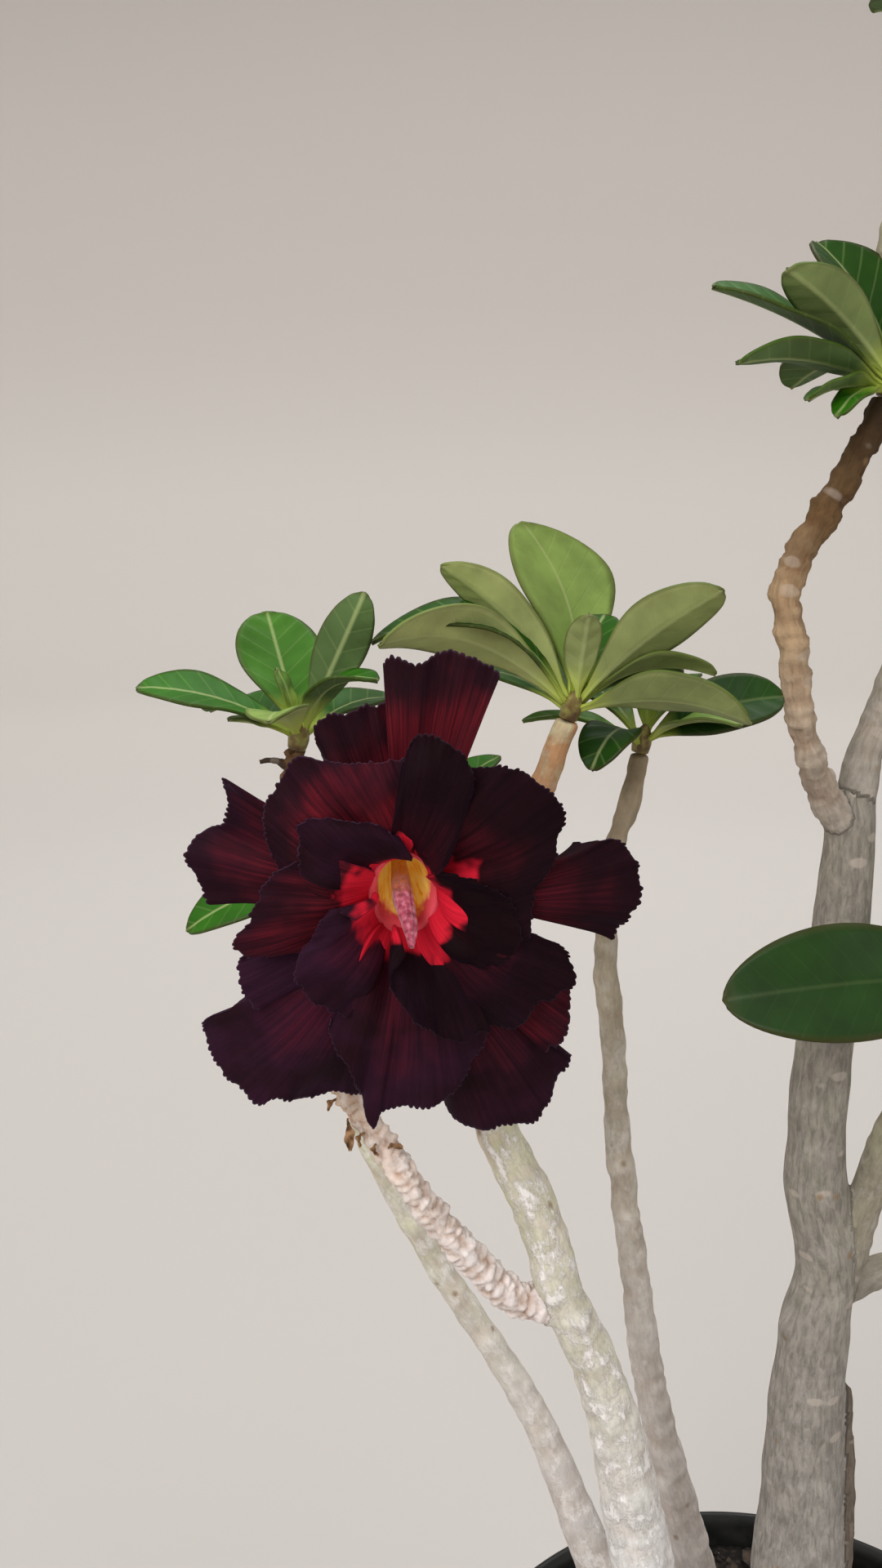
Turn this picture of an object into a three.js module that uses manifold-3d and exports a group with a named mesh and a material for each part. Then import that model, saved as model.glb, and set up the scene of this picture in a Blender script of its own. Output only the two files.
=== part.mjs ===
// A potted desert rose (Adenium): a black nursery pot of soil, a swollen base with long pale stems,
// a rosette of leaves at each stem's end, and one many-petalled dark bloom.
// Millimetres, +Z up, the origin at the centre of the pot's underside. -Y is the front, where the bloom looks.
import * as THREE from "three";
import { mergeVertices } from "three/addons/utils/BufferGeometryUtils.js";
import Module from "manifold-3d";

const wasm = await Module();
wasm.setup();

// ---------------------------------------------------------------- driving dimensions

const GAP = 0.3; // clearance between pieces that rest on each other
const POT = {
  height: 170,
  rimRadius: 100,
  footRadius: 74,
  wall: 1.6,
  floor: 3,
  rimBand: 13, // how far the thicker band comes down from the rim
  rimStep: 2.4, // how far it stands out
  sides: 36,
};
const DRAIN = { radius: 5, ring: 48, count: 6 };
const SOIL = { below: 10, bump: 1.5, rings: 4 }; // below the pot's rim
// The swollen base as [radius, height] from its root up. Its lobes swell past that by a share of the radius.
const CAUDEX_PROFILE = [
  [0, 134], [14, 137], [27, 145], [37, 156], [41, 169], [40, 182], [35, 196], [28, 209], [22, 219], [0, 226],
];
const CAUDEX_SUNK = 5; // how many of those points are in the soil
const CAUDEX_LOBES = [{ count: 3, swell: 0.05, turn: 1 }, { count: 5, swell: 0.03, turn: 2 }];
const TWIG_SIDES = 8;
const TRUNK_SIDES = 12;
const SCAR_PITCH = 4.4; // spacing of the leaf scars that ring a young branch
const LEAF = {
  thickness: 0.8,
  rib: 1.3, // thickness along the midrib
  fold: 0.3, // slope of each half, up from the midrib
  rows: [0, 0.26, 0.56, 0.85, 1], // shares of the length
  shootRadius: 2.3,
  shootLength: 7,
};
const PETAL = {
  thickness: 0.7,
  marginTeeth: 7,
  tooth: 1.4,
  ruffle: 1.4,
  rootHalf: 3.4,
  rows: [[0, 2], [0.3, 2], [0.6, 4], [0.86, 6]], // share of the length, and columns across
};
const BLOOM = {
  at: [-101, -38, 453], // the throat's centre
  turn: 5, // degrees to the right of straight ahead
  nod: 5, // degrees below level
  throatRadius: 9,
  tubeLength: 31,
  tubeWall: 1,
  neckRadius: 3.4,
  tubeSides: 14,
};

const SOIL_TOP = POT.height - SOIL.below;
const DEGREE = Math.PI / 180;

// ---------------------------------------------------------------- materials

const matt = (color, roughness = 0.7) => new THREE.MeshStandardMaterial({ color, roughness, metalness: 0 });
const POT_PLASTIC = matt(0x1b1c1a, 0.5);
const POTTING_MIX = matt(0x2c221b, 0.95);
const BARK = matt(0xb9b1a2, 0.85);
const LEAF_GREEN = matt(0x3f7a2c, 0.45);
const PETAL_MAROON = matt(0x2a0d18, 0.8);
const ANTHER_PINK = matt(0xc0607a, 0.6);
const CALYX_GREEN = matt(0x6d7a3a, 0.6);

// ---------------------------------------------------------------- solids

// A closed three.js geometry as a manifold-3d solid.
function solid(geometry) {
  const bare = geometry.clone();
  for (const name of Object.keys(bare.attributes)) if (name !== "position") bare.deleteAttribute(name);
  const merged = mergeVertices(bare, 1e-4);
  return new wasm.Manifold(
    new wasm.Mesh({
      numProp: 3,
      vertProperties: new Float32Array(merged.attributes.position.array),
      triVerts: new Uint32Array(merged.index.array),
    }),
  );
}

// A manifold-3d solid back as a three.js geometry.
function geometryOf(body) {
  const { vertProperties, triVerts } = body.getMesh();
  const geometry = new THREE.BufferGeometry();
  geometry.setAttribute("position", new THREE.BufferAttribute(new Float32Array(vertProperties), 3));
  geometry.setIndex(new THREE.BufferAttribute(new Uint32Array(triVerts), 1));
  geometry.computeVertexNormals();
  return geometry;
}

// Joins closed geometries into one, and drops any loose scrap that the joining leaves.
function fuse(geometries) {
  const joined = geometries.map(solid).reduce((all, next) => all.add(next));
  const bodies = joined.decompose().sort((a, b) => b.volume() - a.volume());
  return bodies[0];
}

function piece(name, body, material) {
  const mesh = new THREE.Mesh(body.isBufferGeometry ? body : geometryOf(body), material);
  mesh.name = name;
  return mesh;
}

// Two rows of points that run the same way, joined by triangles. The rows may differ in length.
function stitch(index, rowA, rowB) {
  const stepsA = rowA.length - 1;
  const stepsB = rowB.length - 1;
  let a = 0;
  let b = 0;
  while (a < stepsA || b < stepsB) {
    const nextA = a < stepsA ? (a + 1) / stepsA : Infinity;
    const nextB = b < stepsB ? (b + 1) / stepsB : Infinity;
    if (nextA < nextB - 1e-9) {
      index.push(rowA[a], rowA[a + 1], rowB[b]);
      a += 1;
    } else {
      index.push(rowA[a], rowB[b + 1], rowB[b]);
      b += 1;
    }
  }
}

// A blade from rows of {point, thickness}: the same triangles on both faces, and a wall round its edge.
function blade(rows) {
  const points = rows.flat();
  const numbers = [];
  rows.reduce((first, row) => {
    numbers.push(row.map((_, i) => first + i));
    return first + row.length;
  }, 0);
  const face = [];
  for (let i = 1; i < numbers.length; i++) stitch(face, numbers[i - 1], numbers[i]);

  const sheet = new THREE.BufferGeometry().setFromPoints(points.map((p) => p.point));
  sheet.setIndex(face);
  sheet.computeVertexNormals();
  const normals = sheet.attributes.normal;
  const offset = (side) => ({ point, thickness }, i) =>
    point.clone().addScaledVector(new THREE.Vector3().fromBufferAttribute(normals, i), (side * thickness) / 2);
  const count = points.length;
  const vertices = [...points.map(offset(1)), ...points.map(offset(-1))];

  const index = [...face];
  for (let i = 0; i < face.length; i += 3)
    index.push(face[i] + count, face[i + 2] + count, face[i + 1] + count);
  const directed = new Set();
  for (let i = 0; i < face.length; i += 3)
    for (const [p, q] of [[0, 1], [1, 2], [2, 0]]) directed.add(face[i + p] + "," + face[i + q]);
  for (const edge of directed) {
    const [p, q] = edge.split(",").map(Number);
    if (!directed.has(q + "," + p)) index.push(q, p, p + count, q, p + count, q + count);
  }
  const closed = new THREE.BufferGeometry().setFromPoints(vertices);
  closed.setIndex(index);
  return closed;
}

// A place with its own axes: z along the direction given, x as near to the side given as it can be.
function placeAt(origin, direction, side = new THREE.Vector3(1, 0, 0)) {
  const z = direction.clone().normalize();
  const x = side.clone().addScaledVector(z, -side.dot(z)).normalize();
  const y = new THREE.Vector3().crossVectors(z, x);
  return new THREE.Matrix4().makeBasis(x, y, z).setPosition(origin);
}

// ---------------------------------------------------------------- pot and soil

const potInnerRadius = (z) =>
  THREE.MathUtils.mapLinear(z, 0, POT.height, POT.footRadius, POT.rimRadius - POT.rimStep) - POT.wall;

function lathe(profile, sides) {
  const geometry = new THREE.LatheGeometry(profile.map(([r, z]) => new THREE.Vector2(r, z)), sides);
  return geometry.rotateX(Math.PI / 2);
}

function makePot() {
  const { height, rimRadius, footRadius, wall, floor, rimBand, rimStep, sides } = POT;
  const underBand = height - rimBand;
  const outerAt = (z) => potInnerRadius(z) + wall;
  const profile = [
    [0, 0],
    [footRadius - 2, 0],
    [footRadius, 3],
    [outerAt(underBand - 2), underBand - 2],
    [rimRadius - 0.6, underBand],
    [rimRadius, height - 2],
    [rimRadius - 0.8, height],
    [rimRadius - rimStep - 0.4, height],
    [potInnerRadius(height - 3), height - 3],
    [potInnerRadius(floor), floor],
    [0, floor],
  ];
  let pot = solid(lathe(profile, sides));
  for (let i = 0; i < DRAIN.count; i++) {
    const angle = (i / DRAIN.count) * 2 * Math.PI;
    const hole = new THREE.CylinderGeometry(DRAIN.radius, DRAIN.radius, 4 * floor, 12).rotateX(Math.PI / 2);
    hole.translate(DRAIN.ring * Math.cos(angle), DRAIN.ring * Math.sin(angle), 0);
    pot = pot.subtract(solid(hole));
  }
  return pot;
}

// The plain hole in the soil that the swollen base stands in, clear of its lobes.
function makeHole() {
  const widest = CAUDEX_LOBES.reduce((sum, { swell }) => sum + swell, 1);
  const wall = CAUDEX_PROFILE.slice(0, CAUDEX_SUNK).map(([r, z]) => [r ? r * widest + GAP : 0, z - GAP]);
  const above = SOIL_TOP + 20;
  return solid(lathe([...wall, [wall.at(-1)[0], above], [0, above]], 40));
}

// The soil's height above its mean level: low mounds that die away at the pot's wall.
function soilBump(x, y) {
  const edge = 1 - (Math.hypot(x, y) / potInnerRadius(SOIL_TOP)) ** 4;
  const mound = Math.sin(x * 0.11 + 1) * Math.cos(y * 0.13);
  const crumb = 0.6 * Math.sin(x * 0.31 - y * 0.27);
  return SOIL.bump * edge * (mound + crumb);
}

function makeSoil() {
  const bottom = POT.floor + GAP;
  const radiusAt = (z) => potInnerRadius(z) - GAP;
  const profile = [[0, bottom], [radiusAt(bottom), bottom]];
  for (let ring = 0; ring < SOIL.rings; ring++)
    profile.push([radiusAt(SOIL_TOP) * (1 - ring / SOIL.rings), SOIL_TOP]);
  profile.push([0, SOIL_TOP]);
  const geometry = lathe(profile, POT.sides);
  const position = geometry.attributes.position;
  for (let i = 0; i < position.count; i++)
    if (position.getZ(i) > SOIL_TOP - 1)
      position.setZ(i, SOIL_TOP + soilBump(position.getX(i), position.getY(i)));
  return solid(geometry).subtract(makeHole());
}

// ---------------------------------------------------------------- stems

// Each stem is a list of stations [x, y, z, radius], from its root to its end.
const STEMS = {
  trunk: [
    [0, 0, 204, 24], [0, 0, 220, 21], [-1, 0, 234, 15.5], [-3, 0, 250, 11.8], [-4, 0, 272, 10.2],
    [-5, 0, 298, 9.3], [-5, 0, 327, 8.2], [-4, 0, 347, 6.9], [-8, 0, 366, 7.1], [-9, 0, 384, 6.6],
    [-9, 0, 402, 6.4], [-8, 0, 433, 5.9], [-8, 0, 448, 5.6], [-8, 1, 458, 5],
  ],
  trunkLeft: [
    [-8, 0, 453, 4.2], [-15, -3, 462, 3.5], [-21, -8, 474, 3], [-24, -10, 485, 3.1], [-26, -10, 496, 2.9],
    [-28, -10, 504, 3.1], [-26, -8, 510, 3.1], [-21, -5, 518, 3], [-15, -3, 528, 2.9], [-10, -2, 540, 2.5],
  ],
  trunkRight: [
    [-8, 0, 453, 4.4], [-5, 4, 469, 3.8], [0, 8, 481, 3.6], [5, 12, 499, 3.3], [4, 14, 519, 3.1],
    [-2, 15, 542, 2.9], [-6, 14, 562, 2.7], [-5, 13, 578, 2.5], [3, 10, 592, 2.4],
  ],
  rightFront: [
    [-4, 0, 330, 5], [1, 0, 347, 4.4], [4, 0, 364, 4], [8, -2, 386, 3.6], [16, -6, 406, 3.2],
    [24, -10, 422, 2.8],
  ],
  rightBack: [
    [-4, 2, 334, 4], [8, 6, 338, 4], [20, 12, 338, 3.7], [36, 24, 342, 3.4], [50, 33, 354, 3.1],
    [58, 39, 369, 2.7],
  ],
  middle: [
    [-17, -4, 172, 12], [-29, -6, 198, 11.5], [-39, -8, 236, 9], [-44, -8, 263, 7.9], [-49, -8, 289, 7.1],
    [-53, -8, 308, 6.2], [-59, -8, 327, 5.5], [-66, -8, 343, 5.2], [-73, -5, 366, 5.2], [-81, 0, 381, 4.8],
    [-86, 6, 400, 4.4], [-86, 12, 418, 4.1], [-82, 14, 437, 3.7], [-75, 13, 452, 3.3], [-71, 12, 462, 2.9],
    [-67, 12, 474, 2.5],
  ],
  scarred: [
    [-65, -8, 341, 4.4], [-75, -10, 345, 4], [-83, -12, 355, 3.7], [-90, -13, 364, 3.8], [-98, -14, 374, 3.4],
    [-105, -13, 384, 3.2], [-112, -10, 393, 3], [-118, -4, 401, 2.8], [-123, 3, 413, 2.7], [-127, 7, 429, 2.6],
    [-128, 10, 445, 2.5], [-127, 11, 459, 2.4], [-125, 10, 468, 2.2],
  ],
  back: [
    [-6, 14, 172, 9], [-17, 18, 206, 6.6], [-24, 20, 232, 5.6], [-35, 22, 274, 4.5], [-41, 24, 303, 4.1],
    [-45, 26, 331, 3.6], [-49, 28, 358, 3.3], [-51, 30, 382, 2.9], [-52, 30, 394, 3.2], [-54, 31, 409, 2.8],
    [-54, 32, 425, 2.6], [-53, 32, 438, 2.6], [-50, 32, 449, 2.5], [-48, 32, 461, 2.2],
  ],
  leftBack: [
    [-22, 10, 172, 10], [-36, 16, 200, 7.6], [-50, 26, 226, 6], [-67, 36, 267, 4.3], [-83, 42, 293, 3.8],
    [-95, 46, 311, 3.6], [-105, 49, 329, 3.4], [-113, 50, 346, 3.2], [-118, 50, 366, 3], [-119, 48, 389, 2.8],
    [-117, 46, 406, 2.5], [-114, 45, 418, 2.3],
  ],
  flowerStub: [[-118, -4, 401, 2.2], [-117, 0, 411, 1.9], [-113, 3, 420, 1.7]],
  deadStub: [[8, 4, 208, 2.4], [7, 4, 240, 2], [5.5, 4, 280, 1.8], [3.5, 3, 312, 1.3]],
  driedStalk: [[-126.5, 10, 463, 1], [-129, 9, 466, 0.8], [-133, 8, 466, 0.7]],
};

// A limb: a cylinder whose rings are laid along its stations' curve, with bark(distance, angle) added.
function limb(stations, { sides = TWIG_SIDES, step = 9, bark = () => 0 } = {}) {
  const curve = new THREE.CatmullRomCurve3(stations.map(([x, y, z]) => new THREE.Vector3(x, y, z)));
  const length = curve.getLength();
  const steps = Math.max(3, Math.round(length / step));
  const frames = curve.computeFrenetFrames(steps);
  const last = stations.length - 1;
  const radiusAt = (t) => {
    const i = Math.min(Math.floor(t * last), last - 1);
    return THREE.MathUtils.lerp(stations[i][3], stations[i + 1][3], t * last - i);
  };
  const geometry = new THREE.CylinderGeometry(1, 1, 1, sides, steps);
  const position = geometry.attributes.position;
  for (let i = 0; i < position.count; i++) {
    const along = position.getY(i) + 0.5;
    const ring = Math.round(along * steps);
    const reach = Math.hypot(position.getX(i), position.getZ(i));
    const angle = Math.atan2(position.getX(i), position.getZ(i));
    const radius = (radiusAt(curve.getUtoTmapping(along)) + bark(along * length, angle)) * Math.min(reach, 1);
    const point = curve
      .getPointAt(along)
      .addScaledVector(frames.normals[ring], -Math.cos(angle) * radius)
      .addScaledVector(frames.binormals[ring], Math.sin(angle) * radius);
    position.setXYZ(i, point.x, point.y, point.z);
  }
  return orientedOut(geometry);
}

// The same closed geometry with its faces pointing outwards.
function orientedOut(geometry) {
  if (solid(geometry).volume() > 0) return geometry;
  const index = geometry.index.array;
  for (let i = 0; i < index.length; i += 3) [index[i + 1], index[i + 2]] = [index[i + 2], index[i + 1]];
  return geometry;
}

// Leaf scars ring a young branch as low collars, heavier on one side and then the other.
const scarred = (height) => (distance, angle) => {
  const heavier = 0.75 + 0.4 * Math.cos(angle * 2 + distance * 0.9);
  return height * heavier * Math.cos((distance / SCAR_PITCH) * 2 * Math.PI);
};

const knotted = (height) => (distance, angle) =>
  height * Math.sin(distance * 0.21 + angle) * Math.sin(distance * 0.083 + 2 * angle);

function makeStems() {
  const caudex = lathe(CAUDEX_PROFILE, 18);
  const position = caudex.attributes.position;
  for (let i = 0; i < position.count; i++) {
    const [x, y] = [position.getX(i), position.getY(i)];
    const angle = Math.atan2(y, x);
    const lobe = ({ count, swell, turn }) => swell * Math.sin(count * angle + turn);
    const grow = CAUDEX_LOBES.reduce((sum, each) => sum + lobe(each), 1);
    position.setXYZ(i, x * grow, y * grow, position.getZ(i));
  }
  return fuse([
    caudex,
    limb(STEMS.trunk, { sides: TRUNK_SIDES, step: 11, bark: knotted(0.35) }),
    limb(STEMS.trunkLeft, { step: 6, bark: knotted(0.3) }),
    limb(STEMS.trunkRight, { step: 11, bark: knotted(0.25) }),
    limb(STEMS.rightFront, { bark: knotted(0.25) }),
    limb(STEMS.rightBack, { bark: knotted(0.25) }),
    limb(STEMS.middle, { sides: 10, step: 11, bark: knotted(0.35) }),
    limb(STEMS.scarred, { step: SCAR_PITCH / 2, bark: scarred(0.38) }),
    limb(STEMS.back, { step: 13, bark: knotted(0.25) }),
    limb(STEMS.leftBack, { step: 14, bark: knotted(0.25) }),
    limb(STEMS.flowerStub, { sides: 6, step: 4 }),
    limb(STEMS.deadStub, { sides: 6, step: 20 }),
    limb(STEMS.driedStalk, { sides: 5, step: 3 }),
  ]);
}

// ---------------------------------------------------------------- leaves

// Obovate: a narrow foot, the widest place beyond the middle, and a round end.
const leafShare = (x) => Math.max(0.12 * (1 - x), Math.sin(Math.PI * x ** 1.6) ** 0.8);

// A leaf from its foot to its tip. It arches above the straight line between them, folds up along its rib by
// fold, and is rolled about its length by roll degrees.
function leaf(foot, tip, { arch, width, roll = 0, fold = LEAF.fold }) {
  const along = tip.clone().sub(foot).normalize();
  const side = new THREE.Vector3().crossVectors(along, new THREE.Vector3(0, 0, 1)).normalize();
  side.applyAxisAngle(along, roll * DEGREE);
  const above = new THREE.Vector3().crossVectors(side, along);
  const crown = foot.clone().add(tip).multiplyScalar(0.5).addScaledVector(above, 2 * arch);
  const rib = new THREE.QuadraticBezierCurve3(foot, crown, tip);
  const rows = LEAF.rows.map((x) => {
    const half = (width / 2) * leafShare(x);
    const normal = new THREE.Vector3().crossVectors(side, rib.getTangent(x));
    const columns = x === 1 ? [0] : x === 0 ? [-1, 1] : [-1, 0, 1];
    const folded = (v) => normal.clone().multiplyScalar(fold * Math.abs(v) * half);
    return columns.map((v) => ({
      point: rib.getPoint(x).addScaledVector(side, v * half).add(folded(v)),
      thickness: v === 0 ? THREE.MathUtils.lerp(LEAF.rib, LEAF.thickness, x) : LEAF.thickness,
    }));
  });
  return blade(rows);
}

// Each leaf is [x, y, z, arch, width, roll]: its tip from the shoot's foot, and how it arches and rolls.
const ROSETTES = {
  left_front: {
    stem: STEMS.scarred,
    leaves: [
      [-32, -6, 14, 3, 13, -25], [-8, 20, 26, 0, 15, 0], [14, 4, 32, 2, 12, 40], [18, -10, 16, 5, 11, 0],
      [-2, -20, 11, 3, 12, 0], [-14, -2, 7, 1, 5, 0], [-4, 2, 17, 0.5, 5, 0], [24, 20, 12, 4, 13, 0],
      [-22, 22, 10, 4, 13, 0], [5, 30, 7, 5, 13, 0],
    ],
  },
  middle: {
    stem: STEMS.middle,
    leaves: [
      [-7, 16, 42, -2, 18, 0], [29, -12, 29, 4, 14, -20], [34, -20, 5, 6, 15, 0], [-42, -16, 18, 10, 15, 25],
      [-42, -2, 20, 12, 15, -20], [-28, 6, 33, 5, 13, 20], [4, -16, 24, 2, 11, 0], [11, 12, 26, 2, 12, 0],
      [27, 24, 13, 5, 14, 0], [-6, 36, 15, 6, 15, 0], [-28, 26, 13, 5, 14, 0], [1, 2, 15, 0, 4.5, 0],
      [35, 6, 12, 5, 14, 10],
    ],
  },
  back: {
    stem: STEMS.back,
    leaves: [
      [30, -6, 14, 4, 16, 20], [-11, -18, 1, 6, 12, 0], [-27, 2, 7, 3, 8, 0], [19, -18, 11, 3, 10, 0],
      [15, 27, 17, 5, 14, 0], [-17, 26, 15, 5, 14, 0], [4, 8, 26, 1, 9, 0], [31, 17, 7, 5, 13, 0],
    ],
  },
  left_back: {
    stem: STEMS.leftBack,
    leaves: [
      [-41, -15, -1, 8, 16, -20], [35, 15, 34, 4, 16, 0], [-9, 38, 14, 5, 16, 0], [-33, 23, 16, 5, 15, 0],
      [32, 28, 6, 5, 15, 0], [8, 12, 28, 2, 11, 0], [15, -9, 8, 3, 8, 0], [-14, -12, 7, 3, 8, 0],
    ],
  },
  trunk_left: {
    stem: STEMS.trunkLeft,
    leaves: [
      [-36, -6, 16, 8, 14, -15], [-32, -13, 5, 7, 12, 10], [-23, -6, 23, 6, 21, 25], [-6, 4, 34, -1, 24, -56],
      [-19, -9, 1, 3, 8, 0], [-12, -8, -3, 3, 7, 0], [35, 3, 14, 5, 15, 0], [26, -21, 10, 5, 14, 0],
      [-13, 31, 8, 5, 14, 0], [7, -14, 21, 2, 10, 0], [12, 2, 30, 2, 12, 0],
    ],
  },
  trunk_right: {
    stem: STEMS.trunkRight,
    leaves: [
      [35, -4, 18, 5, 15, 0], [20, 27, 16, 5, 15, 0], [-10, 35, 12, 5, 15, 0], [-27, 18, 14, 5, 14, 0],
      [18, -29, 15, 5, 15, 0], [-16, -15, 21, 4, 12, 0], [-5, 6, 29, 1, 12, 0], [15, 5, 27, 2, 12, 0],
      [31, 16, 0, 6, 13, 0],
    ],
  },
  right_front: {
    stem: STEMS.rightFront,
    leaves: [
      [-62, -16, 6, 6, 25, -50], [41, -15, 17, 6, 18, 0], [36, 21, 13, 6, 17, 0], [3, 35, 16, 5, 16, 0],
      [17, -35, 9, 6, 16, 0], [10, -5, 33, 2, 13, 0], [-9, -21, 21, 3, 11, 0], [15, 14, 27, 3, 13, 0],
      [38, 3, -5, 7, 14, 0],
    ],
  },
  right_back: {
    stem: STEMS.rightBack,
    leaves: [
      [36, 9, 15, 5, 15, 0], [20, 34, 16, 5, 16, 0], [-14, 35, 14, 5, 15, 0], [-31, 13, 15, 5, 14, 0],
      [22, -31, 13, 5, 15, 0], [-13, -28, 12, 5, 13, 0], [11, 4, 31, 2, 12, 0], [-8, 9, 26, 2, 11, 0],
      [33, 23, -4, 6, 12, 0],
    ],
  },
};

// The leaves spring from a short green shoot, which stands on the end of its stem.
function makeRosette({ stem, leaves }) {
  const end = new THREE.Vector3(...stem.at(-1).slice(0, 3));
  const before = new THREE.Vector3(...stem.at(-2).slice(0, 3));
  const along = end.clone().sub(before).normalize();
  const foot = end.clone().addScaledVector(along, GAP);
  const { shootRadius, shootLength } = LEAF;
  const narrow = shootRadius * 0.8;
  const shoot = lathe([[0, 0], [narrow, 0], [shootRadius, 2], [narrow, 5], [0, shootLength]], TWIG_SIDES);
  const grown = leaves.map(([x, y, z, arch, width, roll]) => {
    const reach = new THREE.Vector3(x, y, z);
    const steepness = Math.max(0, z / reach.length());
    const outward = new THREE.Vector3(x, y, 0).normalize();
    const spring = foot
      .clone()
      .addScaledVector(along, shootLength * (0.25 + 0.45 * steepness))
      .addScaledVector(outward, shootRadius * 0.45);
    return leaf(spring, foot.clone().add(reach), { arch, width, roll });
  });
  return fuse([shoot.applyMatrix4(placeAt(foot, along)), ...grown]);
}

// ---------------------------------------------------------------- bloom

// Petals as [clockwise corner, tip, anticlockwise corner, rise]. Each place is [right, up, out] from the
// throat's centre, seen from the front, and the rise is how far the petal's middle arches out. A fan of 1
// widens evenly from root to margin, and a lower one widens sooner.
const WHORLS = [
  {
    fan: 0.95, // outer: top, left, lower left, lower right, right
    petals: [
      [[18, 41, -5], [8, 45, -4], [-2, 43, -5], 2],
      [[-32, 21, -6], [-37, 10, -5], [-37, -2, -7], 3],
      [[-38, -30, -6], [-27, -44, -4], [-8, -47, -7], 3],
      [[9, -52, -7], [23, -53, -4], [33, -42, -6], 3],
      [[43, -14, -6], [45, 0, -5], [39, 8, -7], 3],
    ],
  },
  {
    fan: 0.8, // lobes that show between the whorls: upper left, left, lower right
    petals: [
      [[3, 37, -7], [-8, 34, -6], [-13, 29, -7], 1],
      [[-27, -12, -3], [-30, -16, -3], [-28, -22, -3], 2],
      [[28, -36, -2], [31, -28, -1], [33, -20, -1], 2],
    ],
  },
  {
    fan: 0.6, // middle: upper left, upper right, right, bottom, left
    petals: [
      [[-1, 30, 1], [-20, 27, 3], [-23, 9, 0], 4],
      [[29, 6, -4], [29, 19, 2], [12, 26, 1], 4],
      [[21, -27, 3], [31, -16, 3], [26, -5, 1], 4],
      [[-7, -46, 0], [4, -40, 2], [15, -28, 0], 4],
      [[-24, 6, 2], [-28, -1, 1], [-30, -7, -1], 4],
    ],
  },
  {
    fan: 0.6, // inner: top, left, lower left, bottom, right
    petals: [
      [[11, 21, 5], [8, 31, 6], [0, 30, 4], 3],
      [[-3, 18, 6], [-16, 19, 8], [-17, 11, 5], 3],
      [[-12, 3, 6], [-19, -9, 6], [-11, -27, 4], 4],
      [[-1, -10, 9], [2, -22, 8], [15, -24, 5], 3],
      [[16, -7, 6], [23, 1, 6], [26, 10, 4], 3],
    ],
  },
];

// A point of a petal: u runs from its root to its margin, and v from its clockwise to its anticlockwise side.
function petalPoint([clockwise, tip, anticlockwise, rise], fan, number, u, v, tooth) {
  const [a, b, c] = [clockwise, tip, anticlockwise].map((place) => new THREE.Vector3(...place));
  const turn = Math.atan2(b.y, b.x);
  const outward = new THREE.Vector3(Math.cos(turn), Math.sin(turn), 0);
  const sideways = new THREE.Vector3(-Math.sin(turn), Math.cos(turn), 0);
  const root = outward.clone().multiplyScalar(BLOOM.throatRadius - 0.9).setZ(-1.4);
  const margin = c.clone().sub(a).multiplyScalar(v / 2);
  margin.addScaledVector(a.clone().add(c).multiplyScalar(0.5).sub(b), Math.abs(v) ** 2.6);
  margin.addScaledVector(outward, tooth);
  const spread = u ** fan;
  const ruffle = PETAL.ruffle * u * u * Math.sin(v * 4.4 + number * 2.1);
  return root
    .lerp(b, u)
    .addScaledVector(margin, spread)
    .addScaledVector(sideways, v * PETAL.rootHalf * (1 - spread))
    .add(new THREE.Vector3(0, 0, rise * Math.sin(Math.PI * u ** 0.8) + ruffle));
}

function petal(places, fan, number) {
  const point = (u, v, tooth) => ({
    point: petalPoint(places, fan, number, u, v, tooth),
    thickness: PETAL.thickness + 0.8 * (1 - u) ** 4,
  });
  const rows = PETAL.rows.map(([u, columns]) =>
    Array.from({ length: columns + 1 }, (_, k) => point(u, (2 * k) / columns - 1, 0)),
  );
  const steps = 2 * PETAL.marginTeeth;
  const tooth = (k) => (k % 2 ? PETAL.tooth : -PETAL.tooth) / 2;
  rows.push(Array.from({ length: steps + 1 }, (_, k) => point(1, (2 * k) / steps - 1, tooth(k))));
  return blade(rows);
}

// The bloom looks to the front (-Y), turned and nodding by a few degrees.
const facing = new THREE.Vector3(0, 0, 1)
  .applyAxisAngle(new THREE.Vector3(1, 0, 0), (90 + BLOOM.nod) * DEGREE)
  .applyAxisAngle(new THREE.Vector3(0, 0, 1), BLOOM.turn * DEGREE);
const bloomPlace = placeAt(new THREE.Vector3(...BLOOM.at), facing);

function makeCorolla() {
  const { throatRadius: mouth, tubeLength: deep, neckRadius: neck, tubeWall: wall } = BLOOM;
  const foot = -deep + 3; // of the space inside
  const outside = [
    [neck, -deep], [neck + 0.4, -deep * 0.72], [mouth - 1.5, -deep * 0.42], [mouth, -8], [mouth + 0.4, 0],
  ];
  const inside = [
    [mouth - wall, 0], [mouth - wall, -8], [mouth - 2.6, -deep * 0.42], [neck - 0.7, -deep * 0.72],
    [neck - 0.9, foot],
  ];
  const tube = lathe([[0, -deep], ...outside, ...inside, [0, foot]], BLOOM.tubeSides);
  const petals = WHORLS.flatMap(({ fan, petals: places }, whorl) =>
    places.map((place, i) => petal(place, fan, whorl * 5 + i)),
  );
  return fuse([tube, ...petals].map((g) => g.applyMatrix4(bloomPlace)));
}

// The anthers' long tails stand together as a spear, which leans down out of the throat.
const ANTHERS = [
  [0, 0, -27.5, 1.3], [0, 0.8, -19, 1.6], [0, 2.4, -10, 2.1], [0, 0.5, 0, 2.2], [1, -3, 6, 1.6],
  [1, -5, 10, 0.4],
];

function makeAntherCone() {
  const ribs = (distance, angle) => 0.22 * Math.cos(5 * angle);
  return solid(limb(ANTHERS, { sides: 10, step: 5, bark: ribs }).applyMatrix4(bloomPlace));
}

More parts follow.
